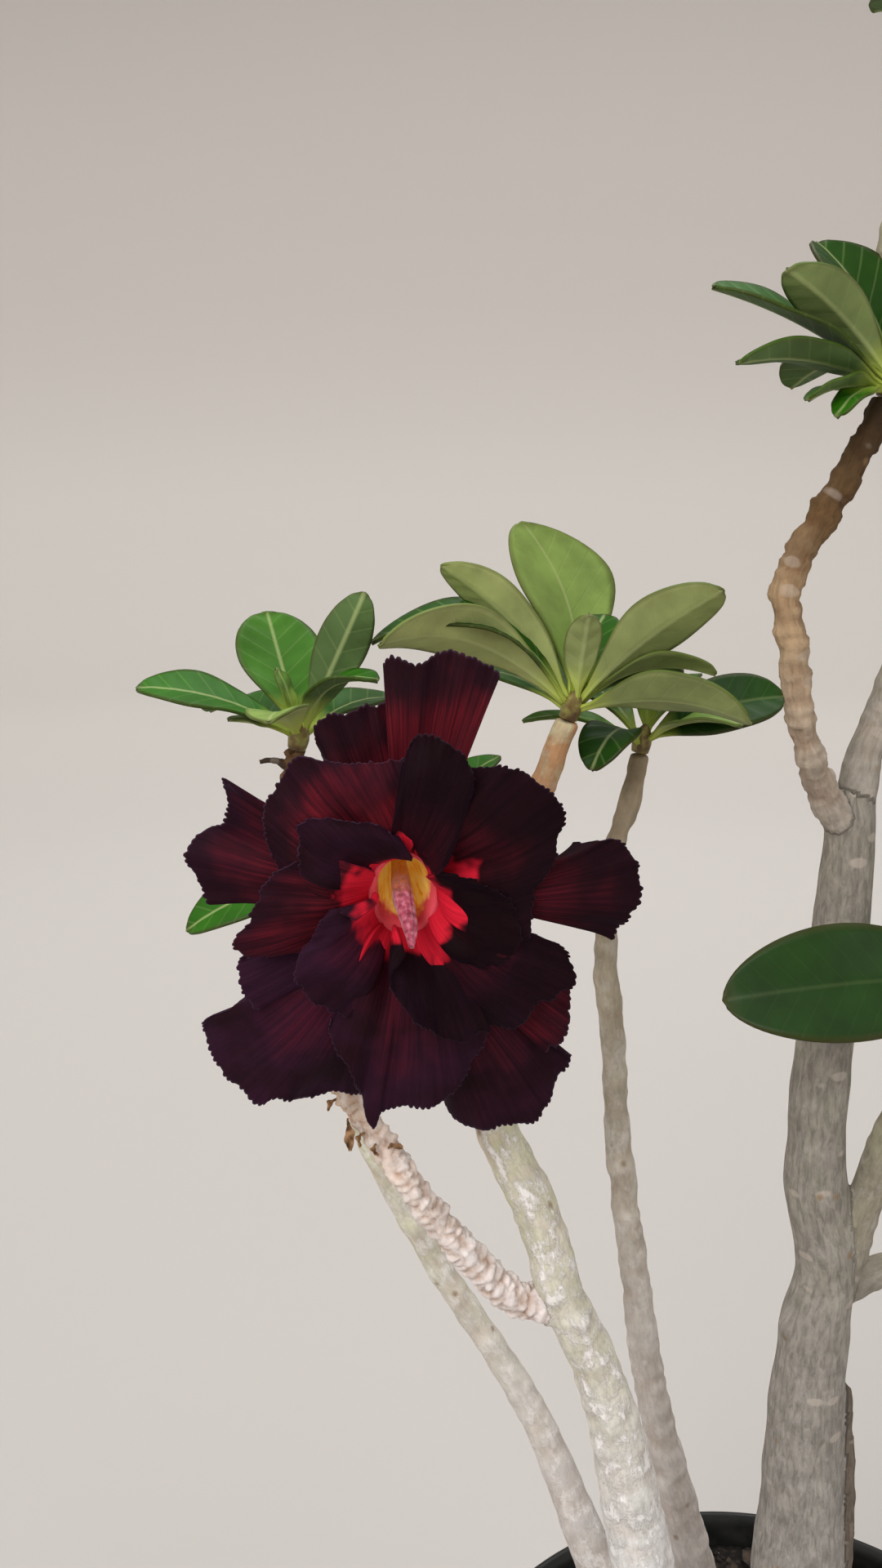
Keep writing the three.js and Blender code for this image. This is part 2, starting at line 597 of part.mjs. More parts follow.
// Five narrow sepals hold the tube's foot, on a short stalk that stands on the branch's stub.
function makeCalyx() {
  const foot = -BLOOM.tubeLength;
  const inner = BLOOM.neckRadius + GAP;
  const cup = [
    [0, foot - 3], [2.2, foot - 3], [inner + 1.2, foot - 0.8], [inner + 1.3, foot + 1.5], [inner, foot + 1.5],
    [inner, foot - GAP], [0, foot - GAP],
  ];
  const sepals = Array.from({ length: 5 }, (_, i) => {
    const turn = (18 + i * 72) * DEGREE;
    const at = (radius, height) => new THREE.Vector3(radius * Math.cos(turn), radius * Math.sin(turn), height);
    return leaf(at(inner + 0.7, foot), at(inner + 3, foot + 9), { arch: -0.5, width: 3, fold: 0.1 });
  });
  const top = new THREE.Vector3(0, 0, foot - 2).applyMatrix4(bloomPlace);
  const stub = STEMS.flowerStub;
  const end = new THREE.Vector3(...stub.at(-1).slice(0, 3));
  const along = end.clone().sub(new THREE.Vector3(...stub.at(-2).slice(0, 3))).normalize();
  const start = end.clone().addScaledVector(along, GAP);
  const straight = start.clone().addScaledVector(along, 3);
  const bend = top.clone().lerp(start, 0.3);
  const stalk = limb([[...start, 1.7], [...straight, 1.7], [...bend, 1.8], [...top, 2]], { sides: 7, step: 4 });
  return fuse([stalk, ...[lathe(cup, BLOOM.tubeSides), ...sepals].map((g) => g.applyMatrix4(bloomPlace))]);
}

// ---------------------------------------------------------------- the whole plant

const plant = new THREE.Group();
plant.add(piece("pot", makePot(), POT_PLASTIC));
plant.add(piece("soil", makeSoil(), POTTING_MIX));
plant.add(piece("stems", makeStems(), BARK));
for (const [name, rosette] of Object.entries(ROSETTES))
  plant.add(piece("leaves_" + name, makeRosette(rosette), LEAF_GREEN));
plant.add(piece("corolla", makeCorolla(), PETAL_MAROON));
plant.add(piece("anther_cone", makeAntherCone(), ANTHER_PINK));
plant.add(piece("calyx", makeCalyx(), CALYX_GREEN));

export default plant;
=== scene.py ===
# %% [markdown]
# # A potted desert rose
# The plant is an adenium: a swollen base with long pale stems, a rosette of leathery leaves at the end of
# each, and one dark double bloom. It stands in a black nursery pot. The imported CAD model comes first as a
# fixed frame, and each soft solid in it is then replaced by a finer piece that keeps its place and its
# size.

# %% Load the frame
import bisect
import math
import random

import bmesh
import bpy
from mathutils import Matrix, Vector, geometry, kdtree, noise


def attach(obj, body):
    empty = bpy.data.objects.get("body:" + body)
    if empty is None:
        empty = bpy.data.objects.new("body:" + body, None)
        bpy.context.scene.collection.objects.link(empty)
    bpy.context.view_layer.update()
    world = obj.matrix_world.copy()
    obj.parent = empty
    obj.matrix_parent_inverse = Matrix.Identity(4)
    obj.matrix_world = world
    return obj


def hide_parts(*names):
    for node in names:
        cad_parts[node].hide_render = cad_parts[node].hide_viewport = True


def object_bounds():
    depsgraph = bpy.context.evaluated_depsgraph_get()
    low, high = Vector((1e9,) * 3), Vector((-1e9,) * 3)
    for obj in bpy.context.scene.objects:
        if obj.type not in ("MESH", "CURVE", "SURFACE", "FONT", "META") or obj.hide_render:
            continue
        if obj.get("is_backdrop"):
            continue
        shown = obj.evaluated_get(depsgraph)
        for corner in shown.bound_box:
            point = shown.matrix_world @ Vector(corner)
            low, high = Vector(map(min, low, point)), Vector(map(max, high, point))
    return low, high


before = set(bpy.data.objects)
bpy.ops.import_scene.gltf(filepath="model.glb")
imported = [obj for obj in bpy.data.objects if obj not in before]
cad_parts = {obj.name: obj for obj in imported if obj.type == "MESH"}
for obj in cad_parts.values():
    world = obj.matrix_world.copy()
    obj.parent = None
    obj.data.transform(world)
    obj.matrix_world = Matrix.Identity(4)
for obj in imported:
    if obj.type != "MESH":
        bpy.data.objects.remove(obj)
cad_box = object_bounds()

MM = 0.001
print("CAD box in mm:", [round(v / MM) for corner in cad_box for v in corner])

# %% [markdown]
# ## Helpers
# Colours are picked as sRGB hex codes, and shaders want linear light, so one function converts them. One
# more adds a node with its settings and links. Where a Map Range node's inputs are given in their order, they
# are the value, the range that it comes from, and the range that it goes to. Two functions make materials: a
# plain one, and one mottled by a noise. The last ones turn a bmesh into a piece of the part, apply its
# modifiers, and store what its material reads.

# %% Helpers for colours and nodes
def paint(code):
    """An sRGB hex colour as linear light."""
    parts = [int(code[i:i + 2], 16) / 255 for i in (1, 3, 5)]
    return [c / 12.92 if c <= 0.04045 else ((c + 0.055) / 1.055) ** 2.4 for c in parts] + [1]


def feed(node, inputs):
    """Fills a node's inputs, by their names or in their order. A node stands for its first output in use."""
    for name, value in inputs.items() if isinstance(inputs, dict) else enumerate(inputs):
        if isinstance(value, bpy.types.Node):
            value = next(socket for socket in value.outputs if socket.enabled)
        if isinstance(value, bpy.types.NodeSocket):
            node.id_data.links.new(value, node.inputs[name])
        else:
            node.inputs[name].default_value = value


def add(tree, kind, inputs=(), stops=(), **settings):
    """Adds a node with its settings and what feeds it. Stops are a ramp's places and colours."""
    node = tree.nodes.new("ShaderNode" + kind)
    for name, value in settings.items():
        setattr(node, name, value)
    feed(node, inputs)
    for number, (place, code) in enumerate(stops):
        elements = node.color_ramp.elements
        element = elements[number] if number < 2 else elements.new(place)
        element.position = place
        element.color = paint(code)
    return node


def new_material(name, **sockets):
    """A material with one Principled shader, and its constant values set on the shader's own sockets."""
    material = bpy.data.materials.new(name)
    material.use_nodes = True
    shader = material.node_tree.nodes["Principled BSDF"]
    feed(shader, {socket.replace("_", " "): value for socket, value in sockets.items()})
    return material, material.node_tree, shader


def mottled_material(name, mottle, stops, relief=None, bump=None, **sockets):
    """A material toned by a noise through a ramp's stops, and raised by that noise or by one of its own.

    A noise is its grain in mm, its detail and its roughness. A bump is its strength and its height in mm.
    """
    material, tree, shader = new_material(name, **sockets)
    place = add(tree, "TexCoord").outputs["Object"]
    tone_grain, relief_grain = [
        add(tree, "TexNoise", {
            "Vector": place, "Scale": 1 / (grain * MM), "Detail": detail, "Roughness": rough})
        for grain, detail, rough in (mottle, relief or mottle)]
    feed(shader, {"Base Color": add(tree, "ValToRGB", (tone_grain,), stops=stops)})
    if bump:
        strength, height = bump
        raised = add(tree, "Bump", {
            "Height": relief_grain, "Strength": strength, "Distance": height * MM})
        feed(shader, {"Normal": raised})
    return material


# %% Helpers for pieces
def new_object(name, bm):
    """An object in the scene from a bmesh, which is used up."""
    mesh = bpy.data.meshes.new(name)
    bm.to_mesh(mesh)
    bm.free()
    thing = bpy.data.objects.new(name, mesh)
    bpy.context.collection.objects.link(thing)
    return thing


def make_piece(name, bm, materials, node):
    """A piece of the part from a bmesh: smooth, riding on the plant, and standing for a CAD node."""
    piece = new_object(name, bm)
    piece.data.shade_smooth()
    for material in materials:
        piece.data.materials.append(material)
    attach(piece, "root")
    if node:
        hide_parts(node)
    return piece


def apply_modifiers(piece):
    """Makes what a piece's modifiers do a part of its mesh."""
    graph = bpy.context.evaluated_depsgraph_get()
    mesh = bpy.data.meshes.new_from_object(piece.evaluated_get(graph))
    piece.modifiers.clear()
    piece.data = mesh
    mesh.shade_smooth()
    return mesh


def fuse(piece, voxel, rounds):
    """Fuses what overlaps in a piece by a remesh with a voxel in mm, and smooths its forks."""
    remesh = piece.modifiers.new("Fuse", "REMESH")
    remesh.mode = "VOXEL"
    remesh.voxel_size = voxel * MM
    smooth = piece.modifiers.new("Flow", "SMOOTH")
    smooth.factor = 0.5
    smooth.iterations = rounds
    apply_modifiers(piece)


def thicken(piece, thickness, shares):
    """Gives a sheet a thickness in mm, half on each side, of which each vertex takes its share."""
    group = piece.vertex_groups.new(name="thickness")
    for index, share in enumerate(shares):
        group.add([index], share, "REPLACE")
    thick = piece.modifiers.new("Thickness", "SOLIDIFY")
    thick.thickness = thickness * MM
    thick.offset = 0
    thick.vertex_group = group.name
    return thick


def store(piece, name, values, kind="VECTOR"):
    """Stores a vector or a colour per vertex, which the piece's material reads by its name."""
    layer = piece.data.attributes.new(name, "FLOAT_" + kind, "POINT")
    layer.data.foreach_set(kind.lower(), values)


def report(piece):
    """Prints a piece's size."""
    low, high = [Vector(f(v.co[i] for v in piece.data.vertices) for i in range(3)) for f in (min, max)]
    size = " x ".join(f"{v / MM:.0f}" for v in high - low)
    print(f"{piece.name}: {size} mm, {len(piece.data.polygons)} faces")


# %% [markdown]
# ## Camera
# The camera looks down on the bloom by 17 degrees from a little above it, as the photograph was taken, with
# the plant's right-hand side out of the frame.

# %% Camera
CAMERA_PLACE = (-94 * MM, -260 * MM, 543 * MM)
CAMERA_DIP = 17  # degrees below level
camera = bpy.data.objects.new("camera", bpy.data.cameras.new("camera"))
bpy.context.collection.objects.link(camera)
camera.location = CAMERA_PLACE
camera.rotation_euler = (math.radians(90 - CAMERA_DIP), 0, 0)
camera.data.lens = 30
camera.data.sensor_width = 36
camera.data.clip_start = 10 * MM
bpy.context.scene.camera = camera

# %% [markdown]
# ## Stems: the routes
# Every stem is a list of stations, each with a place and a radius in millimetres. A smooth curve through
# them is cut into short steps, and a ring is carried along those steps.

# %% The stems' stations
STEMS = {
    "trunk": [
        (0, 0, 204, 24), (0, 0, 220, 21), (-1, 0, 234, 15.5), (-3, 0, 250, 11.8), (-4, 0, 272, 10.2),
        (-5, 0, 298, 9.3), (-5, 0, 327, 8.2), (-4, 0, 347, 6.9), (-8, 0, 366, 7.1), (-9, 0, 384, 6.6),
        (-9, 0, 402, 6.4), (-8, 0, 433, 5.9), (-8, 0, 448, 5.6), (-8, 1, 458, 5),
    ],
    "trunk_left": [
        (-8, 0, 453, 4.2), (-15, -3, 462, 3.5), (-21, -8, 474, 3), (-24, -10, 485, 3.1),
        (-26, -10, 496, 2.9), (-28, -10, 504, 3.1), (-26, -8, 510, 3.1), (-21, -5, 518, 3),
        (-15, -3, 528, 2.9), (-10, -2, 540, 2.5),
    ],
    "trunk_right": [
        (-8, 0, 453, 4.4), (-5, 4, 469, 3.8), (0, 8, 481, 3.6), (5, 12, 499, 3.3), (4, 14, 519, 3.1),
        (-2, 15, 542, 2.9), (-6, 14, 562, 2.7), (-5, 13, 578, 2.5), (3, 10, 592, 2.4),
    ],
    "right_front": [
        (-4, 0, 330, 5), (1, 0, 347, 4.4), (4, 0, 364, 4), (8, -2, 386, 3.6), (16, -6, 406, 3.2),
        (24, -10, 422, 2.8),
    ],
    "right_back": [
        (-4, 2, 334, 4), (8, 6, 338, 4), (20, 12, 338, 3.7), (36, 24, 342, 3.4), (50, 33, 354, 3.1),
        (58, 39, 369, 2.7),
    ],
    "middle": [
        (-17, -4, 172, 12), (-29, -6, 198, 11.5), (-39, -8, 236, 9), (-44, -8, 263, 7.9),
        (-49, -8, 289, 7.1), (-53, -8, 308, 6.2), (-59, -8, 327, 5.5), (-66, -8, 343, 5.2),
        (-73, -5, 366, 5.2), (-81, 0, 381, 4.8), (-86, 6, 400, 4.4), (-86, 12, 418, 4.1),
        (-82, 14, 437, 3.7), (-75, 13, 452, 3.3), (-71, 12, 462, 2.9), (-67, 12, 474, 2.5),
    ],
    "scarred": [
        (-67, -8, 340, 4.2), (-78, -10, 345, 4), (-86, -12, 355, 3.7), (-92.5, -13, 364, 3.6),
        (-99, -14, 374, 3.2), (-105, -13, 384, 3.2), (-112, -10, 393, 3), (-118, -4, 401, 2.8),
        (-123, 3, 413, 2.7), (-127, 7, 429, 2.6), (-128, 10, 445, 2.5), (-127, 11, 459, 2.4),
        (-125, 10, 468, 2.2),
    ],
    "back": [
        (-6, 14, 172, 9), (-17, 18, 206, 6.6), (-24, 20, 232, 5.6), (-35, 22, 274, 4.5),
        (-41, 24, 303, 4.1), (-45, 26, 331, 3.6), (-49, 28, 358, 3.3), (-51, 30, 382, 2.9),
        (-52, 30, 394, 3.2), (-54, 31, 409, 2.8), (-54, 32, 425, 2.6), (-53, 32, 438, 2.6),
        (-50, 32, 449, 2.5), (-48, 32, 461, 2.2),
    ],
    "left_back": [
        (-22, 10, 172, 10), (-36, 16, 200, 7.6), (-50, 26, 226, 6), (-67, 36, 267, 4.3), (-83, 42, 293, 3.8),
        (-95, 46, 311, 3.6), (-105, 49, 329, 3.4), (-113, 50, 346, 3.2), (-118, 50, 366, 3),
        (-119, 48, 389, 2.8), (-117, 46, 406, 2.5), (-114, 45, 418, 2.3),
    ],
    "flower_stub": [(-118, -4, 401, 2.2), (-117, 0, 411, 1.9), (-113, 3, 420, 1.7)],
    "dead_stub": [(10.2, -2, 208, 2.2), (9, -2, 240, 1.8), (7.2, -2, 280, 1.5), (4.2, -1, 312, 1)],
    "dried_stalk": [(-126.5, 10, 463, 1), (-129, 9, 466, 0.8), (-133, 8, 466, 0.7)],
}


# %% Cutting a route into short steps
def follow(stations, spacing=2.0):
    """Steps along a smooth curve through the stations: place and radius in metres, heading, and distance."""
    places = [Vector(s[:3]) * MM for s in stations]
    ahead = places[1:] + [places[-1] * 2 - places[-2]]
    behind = [places[0] * 2 - places[1]] + places[:-1]
    headings = [(a - b).normalized() for a, b in zip(ahead, behind)]
    steps = []
    for i in range(len(places) - 1):
        start, end = places[i], places[i + 1]
        pull = (end - start).length / 3
        count = max(1, round((end - start).length / MM / spacing))
        curve = geometry.interpolate_bezier(
            start, start + headings[i] * pull, end - headings[i + 1] * pull, end, count + 1)
        for k in range(count + (i == len(places) - 2)):
            share = k / count
            radius = stations[i][3] * (1 - share) + stations[i + 1][3] * share
            steps.append({"place": curve[k], "radius": radius * MM})
    distance = 0
    for number, step in enumerate(steps):
        before, after = steps[max(number - 1, 0)], steps[min(number + 1, len(steps) - 1)]
        step["heading"] = (after["place"] - before["place"]).normalized()
        distance += (step["place"] - before["place"]).length
        step["distance"] = distance
    return steps


def stem_end(stem):
    """The last station of a stem in mm, and the direction in which the stem ends."""
    end, before = [Vector(station[:3]) for station in (STEMS[stem][-1], STEMS[stem][-2])]
    return end, (end - before).normalized()


def stand_frames(steps):
    """A frame for every step: its z runs along the limb, and it turns as little as it can on the way."""
    turn = Vector((0, 0, 1)).rotation_difference(steps[0]["heading"]).to_matrix()
    before = steps[0]["heading"]
    for step in steps:
        turn = before.rotation_difference(step["heading"]).to_matrix() @ turn
        before = step["heading"]
        step["turn"] = turn.copy()
    return steps


ROUTES = {name: stand_frames(follow(stations)) for name, stations in STEMS.items()}
print("limbs:", {name: round(steps[-1]["distance"] / MM) for name, steps in ROUTES.items()})


# %% [markdown]
# ## Stems: the solids
# A limb starts as a capped circle. Its cap is extruded from step to step, and each new ring is moved,
# turned and scaled into place. The base is a profile spun about the pot's axis, with low lobes, and the
# feet of the side limbs flare into it as roots do. A voxel remesh then fuses what belongs together, so that
# the forks flow into each other as wood does.

# %% Growing a limb by extrusion
def grow_limb(bm, steps, sides=20):
    """Extrudes a capped circle along the steps of one limb."""
    ring = bmesh.ops.create_circle(bm, cap_ends=True, segments=sides, radius=1)["verts"]
    cap = ring[0].link_faces[0]
    stand = Matrix.Identity(4)
    for number, step in enumerate(steps):
        if number:
            grown = bmesh.ops.extrude_face_region(bm, geom=[cap])["geom"]
            ring = [part for part in grown if isinstance(part, bmesh.types.BMVert)]
            cap = next(part for part in grown if isinstance(part, bmesh.types.BMFace))
        size = Matrix.Scale(step["radius"], 4)
        new_stand = Matrix.Translation(step["place"]) @ step["turn"].to_4x4() @ size
        bmesh.ops.transform(bm, matrix=new_stand @ stand.inverted(), verts=ring)
        stand = new_stand


# %% The swollen base
CAUDEX_PROFILE = [
    (0, 134), (14, 137), (27, 145), (37, 156), (41, 169), (40, 182),
    (35, 196), (28, 209), (22, 219), (17, 232), (0, 236),
]
CAUDEX_LOBES = [(3, 0.05, 1), (5, 0.03, 2)]  # count, swell as a share of the radius, and turn


def spin_profile(bm, profile, steps):
    """Spins a profile of (radius, height) points about the pot's axis."""
    points = [bm.verts.new((r * MM, 0, z * MM)) for r, z in profile]
    edges = [bm.edges.new(pair) for pair in zip(points, points[1:])]
    bmesh.ops.spin(
        bm, geom=points + edges, axis=(0, 0, 1), cent=(0, 0, 0), angle=2 * math.pi, steps=steps,
        use_merge=True)
    bmesh.ops.remove_doubles(bm, verts=bm.verts, dist=0.01 * MM)


def swell_lobes(co):
    """A point of the base, moved out by the lobes."""
    angle = math.atan2(co.y, co.x)
    grow = 1 + sum(swell * math.sin(count * angle + turn) for count, swell, turn in CAUDEX_LOBES)
    return Vector((co.x * grow, co.y * grow, co.z))


# %% Fusing limbs into one skin
FLARE_START, FLARE_LOSS = 1.5, 0.65  # a flared root's radius at its foot, and what it loses, in limb radii


def fuse_limbs(name, limbs, voxel, base=False, flares=()):
    """One piece from several limbs, fused at a voxel size in millimetres, its forks smoothed."""
    bm = bmesh.new()
    if base:
        spin_profile(bm, CAUDEX_PROFILE, 48)
        for vert in bm.verts:
            vert.co = swell_lobes(vert.co)
    for limb in limbs:
        grow_limb(bm, ROUTES[limb])
    for limb, until in flares:  # thick roots that thin out until they vanish in the limb
        steps = [dict(step) for step in ROUTES[limb] if step["place"].z < until * MM]
        for number, step in enumerate(steps):
            step["radius"] *= FLARE_START - FLARE_LOSS * number / len(steps)
        grow_limb(bm, steps)
    bmesh.ops.recalc_face_normals(bm, faces=bm.faces)
    piece = make_piece(name, bm, [], "stems")
    fuse(piece, voxel, 5)
    return piece


# %% The three groups of limbs
trunk = fuse_limbs(
    "trunk_and_base",
    ["trunk", "trunk_left", "trunk_right", "right_front", "right_back", "dead_stub"],
    voxel=0.85, base=True, flares=[("middle", 236), ("back", 238), ("left_back", 232)])
front_branch = fuse_limbs(
    "front_branch", ["middle", "scarred", "flower_stub", "dried_stalk"], voxel=0.52)
rear_branches = fuse_limbs("rear_branches", ["back", "left_back"], voxel=0.6)
for piece in (trunk, front_branch, rear_branches):
    report(piece)

# %% [markdown]
# ## Stems: the bark's relief
# A young adenium stem is ringed by the scars of fallen leaves, and an old one is nearly smooth with low
# knots. Both follow the limb and not the room, so each vertex first gets its place on its limb: how far
# along, and which way round. Rings and knots are then raised along the normals, and the places are kept for
# the material.

# %% What the bark of each limb is like
# Per limb, in mm: how far apart its rings are and how high, how wide its knobs are and how high, and how
# high its scales are. Then how green, how wrinkled and how flaky it is, from 0 to 1.
BARK = {
    "base": (14, 0.25, 22, 1.2, 0, 0.15, 0.9, 0.08),
    "trunk": (21, 0.2, 13, 0.45, 0, 0.1, 1.0, 0.06),
    "trunk_left": (3.2, 0.32, 4.8, 0.9, 0.25, 0, 0.6, 0),
    "trunk_right": (4.6, 0.2, 9, 0.45, 0, 0.2, 0.6, 0.1),
    "right_front": (5, 0.18, 9, 0.4, 0, 0.3, 0.6, 0.1),
    "right_back": (5, 0.18, 9, 0.4, 0, 0.3, 0.6, 0.1),
    "dead_stub": (9, 0.1, 8, 0.3, 0, 0, 1, 0),
    "middle": (6.5, 0.2, 7, 0.45, 0, 0.68, 0.45, 0.85),
    "scarred": (2.6, 0.3, 3.4, 0.7, 0.62, 0.05, 0.2, 0.45),
    "flower_stub": (2.4, 0.3, 4, 0.3, 0, 0.8, 0.1, 0.2),
    "dried_stalk": (3, 0.1, 3, 0.2, 0, 0, 0.5, 0),
    "back": (6.5, 0.2, 8, 0.6, 0, 0.05, 0.4, 0.3),
    "left_back": (8, 0.18, 9, 0.45, 0, 0.5, 0.3, 0.45),
}
BARK_TINTS = {  # from the root to the end of each limb
    "base": ("#928d87", "#97928c"),
    "trunk": ("#948f8a", "#918c85", "#8a847b", "#898278"),
    "trunk_left": ("#9d948b", "#ad9e8d", "#a98f70", "#654c2f", "#312313"),
    "trunk_right": ("#948c82", "#9a9385", "#8f8468"),
    "right_front": ("#8c857a", "#8e8775", "#887c5c"),
    "right_back": ("#8c857a", "#8e8775", "#887c5c"),
    "dead_stub": ("#796d60", "#655b50"),
    "middle": ("#a09b96", "#dbd9d9", "#dddbd9", "#d6d2c6", "#d0c8b6", "#cda583", "#b0845c"),
    "scarred": ("#e4dad7", "#e4d9d4", "#e0cdc1", "#d8b994", "#a07c54", "#5f452b"),
    "flower_stub": ("#b0987a", "#8a7c4c"),
    "dried_stalk": ("#4d3c30", "#3d2f26"),
    "back": ("#a29d97", "#d6cfca", "#cec6be", "#bfb5a2", "#a08f75"),
    "left_back": ("#a09b96", "#cfc9c5", "#cbc5b6", "#a49c76"),
}
KNOTS = [  # place, reach and height in mm
    ((-13.5, -3, 331), 5, 1.6), ((-69, -11, 347), 5, 1.8), ((-62, -14, 340), 4, 1.4),
    ((-47, 23, 333), 4, 1.2), ((-49, -16, 290), 4, 0.8), ((-55, -14, 312), 4, 0.9),
    ((-3, -10, 268), 7, 0.7), ((-6, -7.5, 350), 6, 0.8), ((-30, -12, 496), 4, 0.9),
    ((-20, -9, 470), 4, 0.8), ((-35, 18, 262), 4, 0.8), ((2, -22, 228), 9, 1.6),
]
ROUTES["base"] = stand_frames(follow([(0, 0, 134, 30), (0, 0, 180, 40), (0, 0, 236, 18)]))


# %% Finding each vertex's place on its limb
LIMB_GAP = 37  # mm between the patterns of one limb and the next
SCALE_ROUND, SCALE_ALONG = 4.2, 2.2  # mm: the scales' size round the limb and along it


def clamp(value, low=0, high=1):
    """A value held between two bounds."""
    return min(max(value, low), high)


def along_tints(name, share):
    """The limb's tint at a share of its length."""
    tints = [Vector(paint(code)[:3]) for code in BARK_TINTS[name]]
    spot = clamp(share, 0, 0.9999) * (len(tints) - 1)
    return tints[int(spot)].lerp(tints[int(spot) + 1], spot % 1)


def place_bark(piece, limbs):
    """Raises the bark's relief, and stores each vertex's place on its limb, its tint and its kind."""
    trees = {}
    for name in limbs:
        trees[name] = kdtree.KDTree(len(ROUTES[name]))
        for number, step in enumerate(ROUTES[name]):
            trees[name].insert(step["place"], number)
        trees[name].balance()
    wraps, tints, kinds, moves = [], [], [], []
    for vert in piece.data.vertices:
        _, name, number = min(
            (distance - ROUTES[name][number]["radius"] * min(1, 0.6 + number / 9), name, number)
            for name, (_, number, distance) in ((name, tree.find(vert.co)) for name, tree in trees.items()))
        step = ROUTES[name][number]
        local = step["turn"].transposed() @ (vert.co - step["place"])
        round_it = Vector((local.x, local.y, 0)).normalized() * step["radius"] / MM
        along = (step["distance"] + local.z) / MM
        wrap = Vector((round_it.x, round_it.y, along + LIMB_GAP * limbs.index(name)))
        pitch, ring, knob, swell, scale, green, wrinkled, flaky = BARK[name]
        share = along * MM / ROUTES[name][-1]["distance"]
        wobble = 2.6 * noise.noise(wrap / (1.6 * pitch))
        heavier = 0.6 + 0.9 * noise.noise(wrap / (0.9 * pitch) + Vector((9, 4, 2)))
        collar = max(math.cos(2 * math.pi * along / pitch + wobble), -0.5) * ring * heavier
        lump = swell * (noise.noise(wrap / knob + Vector((3, 7, 1))) + 0.35 * noise.noise(wrap * 2.3 / knob))
        if scale:
            cell = Vector((wrap.x / SCALE_ROUND, wrap.y / SCALE_ROUND, wrap.z / SCALE_ALONG))
            near, cores = noise.voronoi(cell)
            lump += scale * (min(1, 2.6 * (near[1] - near[0])) - 0.75 + 0.6 * noise.noise(cores[0] * 5))
        rise = (collar + lump) * min(1, along / 8 + (name in ("trunk", "base")))
        for place, reach, height in KNOTS:
            away = (vert.co / MM - Vector(place)).length / reach
            if away < 1:
                rise += height * (1 - away * away) ** 2
        moves.append(vert.normal * rise * MM)
        relief = clamp(0.5 + rise / ((2.4 if scale else 6) * (ring + swell + scale)))
        greener = clamp((share - 0.42) / 0.18, 0.1)  # only the younger half of a limb is green
        flakier = clamp(min(share, 0.96 - share) / 0.2)  # and only its middle flakes
        wraps.extend(wrap * MM)
        tints.extend((*along_tints(name, share), relief))
        kinds.extend((green * greener, wrinkled, flaky * flakier))
    for vert, move in zip(piece.data.vertices, moves):
        vert.co += move
    store(piece, "bark_wrap", wraps)
    store(piece, "bark_tint", tints, "COLOR")
    store(piece, "bark_kind", kinds)


place_bark(trunk, [
    "trunk", "trunk_left", "trunk_right", "right_front", "right_back", "dead_stub", "base", "middle", "back",
    "left_back"])
place_bark(front_branch, ["middle", "scarred", "flower_stub", "dried_stalk"])
place_bark(rear_branches, ["back", "left_back"])

# %% [markdown]
# ## Stems: the bark's finish
# Adenium bark is a thin papery skin, grey-beige and matt. It wrinkles lengthwise as the stem swells, flakes
# in pale scraps, and lets green show where the skin is young. The tint comes from the limb, and patterns in
# the limb's own coordinates break it up: blotches, green patches, wrinkles, scraps, leaf scars and specks.

# %% Bark material
bark, tree, shader = new_material("thin_papery_bark", Roughness=0.85, IOR=1.45, Specular_IOR_Level=0.3)
wrap = add(tree, "Attribute", attribute_name="bark_wrap").outputs["Vector"]
tint = add(tree, "Attribute", attribute_name="bark_tint")
kind = add(tree, "SeparateXYZ", (add(tree, "Attribute", attribute_name="bark_kind").outputs["Vector"],))

# The tint comes from the limb, lighter and darker in blotches, and browner in the grooves between rings.
blotch = add(tree, "TexNoise", {"Vector": wrap, "Scale": 1 / (6 * MM), "Detail": 5, "Roughness": 0.65})
blotch_level = add(tree, "MapRange", (blotch, 0.3, 0.7, 0.8, 1.15))
groove = add(tree, "MapRange", (tint.outputs["Alpha"], 0.22, 0.52, 1.0, 0))
smoothness = add(tree, "Math", (1.1, kind.outputs["Y"]), operation="SUBTRACT")
groove_share = add(tree, "Math", (groove, smoothness), operation="MULTIPLY", use_clamp=True)

# Young skin is green in patches of about 9 mm.
green_patch = add(tree, "TexNoise", {
    "Vector": wrap, "Scale": 1 / (9 * MM), "Detail": 5, "Roughness": 0.6})
green_edge = add(tree, "MapRange", (green_patch, 0.45, 0.62))
green_share = add(tree, "Math", (green_edge, kind.outputs["X"]), operation="MULTIPLY")

# Wrinkles are 1.1 mm apart round the stem, run 4.5 mm along it and wander.
stretched = add(tree, "Mapping", {
    "Vector": wrap, "Scale": (1 / (1.1 * MM), 1 / (1.1 * MM), 1 / (4.5 * MM))})
wrinkle = add(tree, "TexNoise", {
    "Vector": stretched, "Scale": 1, "Detail": 4, "Roughness": 0.6, "Distortion": 0.6})
wrinkle_dark = add(tree, "MapRange", (wrinkle, 0.36, 0.6, 0.6, 1.14))
wrinkle_share = add(tree, "Math", (kind.outputs["Y"], 0.8), operation="MULTIPLY")

# Scraps of loose pale skin, about 3.6 mm wide and 5.5 mm long.
lengthwise = add(tree, "Mapping", {
    "Vector": wrap, "Scale": (1 / (3.6 * MM), 1 / (3.6 * MM), 1 / (5.5 * MM))})
scrap = add(tree, "TexNoise", {"Vector": lengthwise, "Scale": 1, "Detail": 6, "Roughness": 0.72})
scrap_edge = add(tree, "MapRange", (scrap, 0.49, 0.6))
scrap_share = add(tree, "Math", (scrap_edge, kind.outputs["Z"]), operation="MULTIPLY")

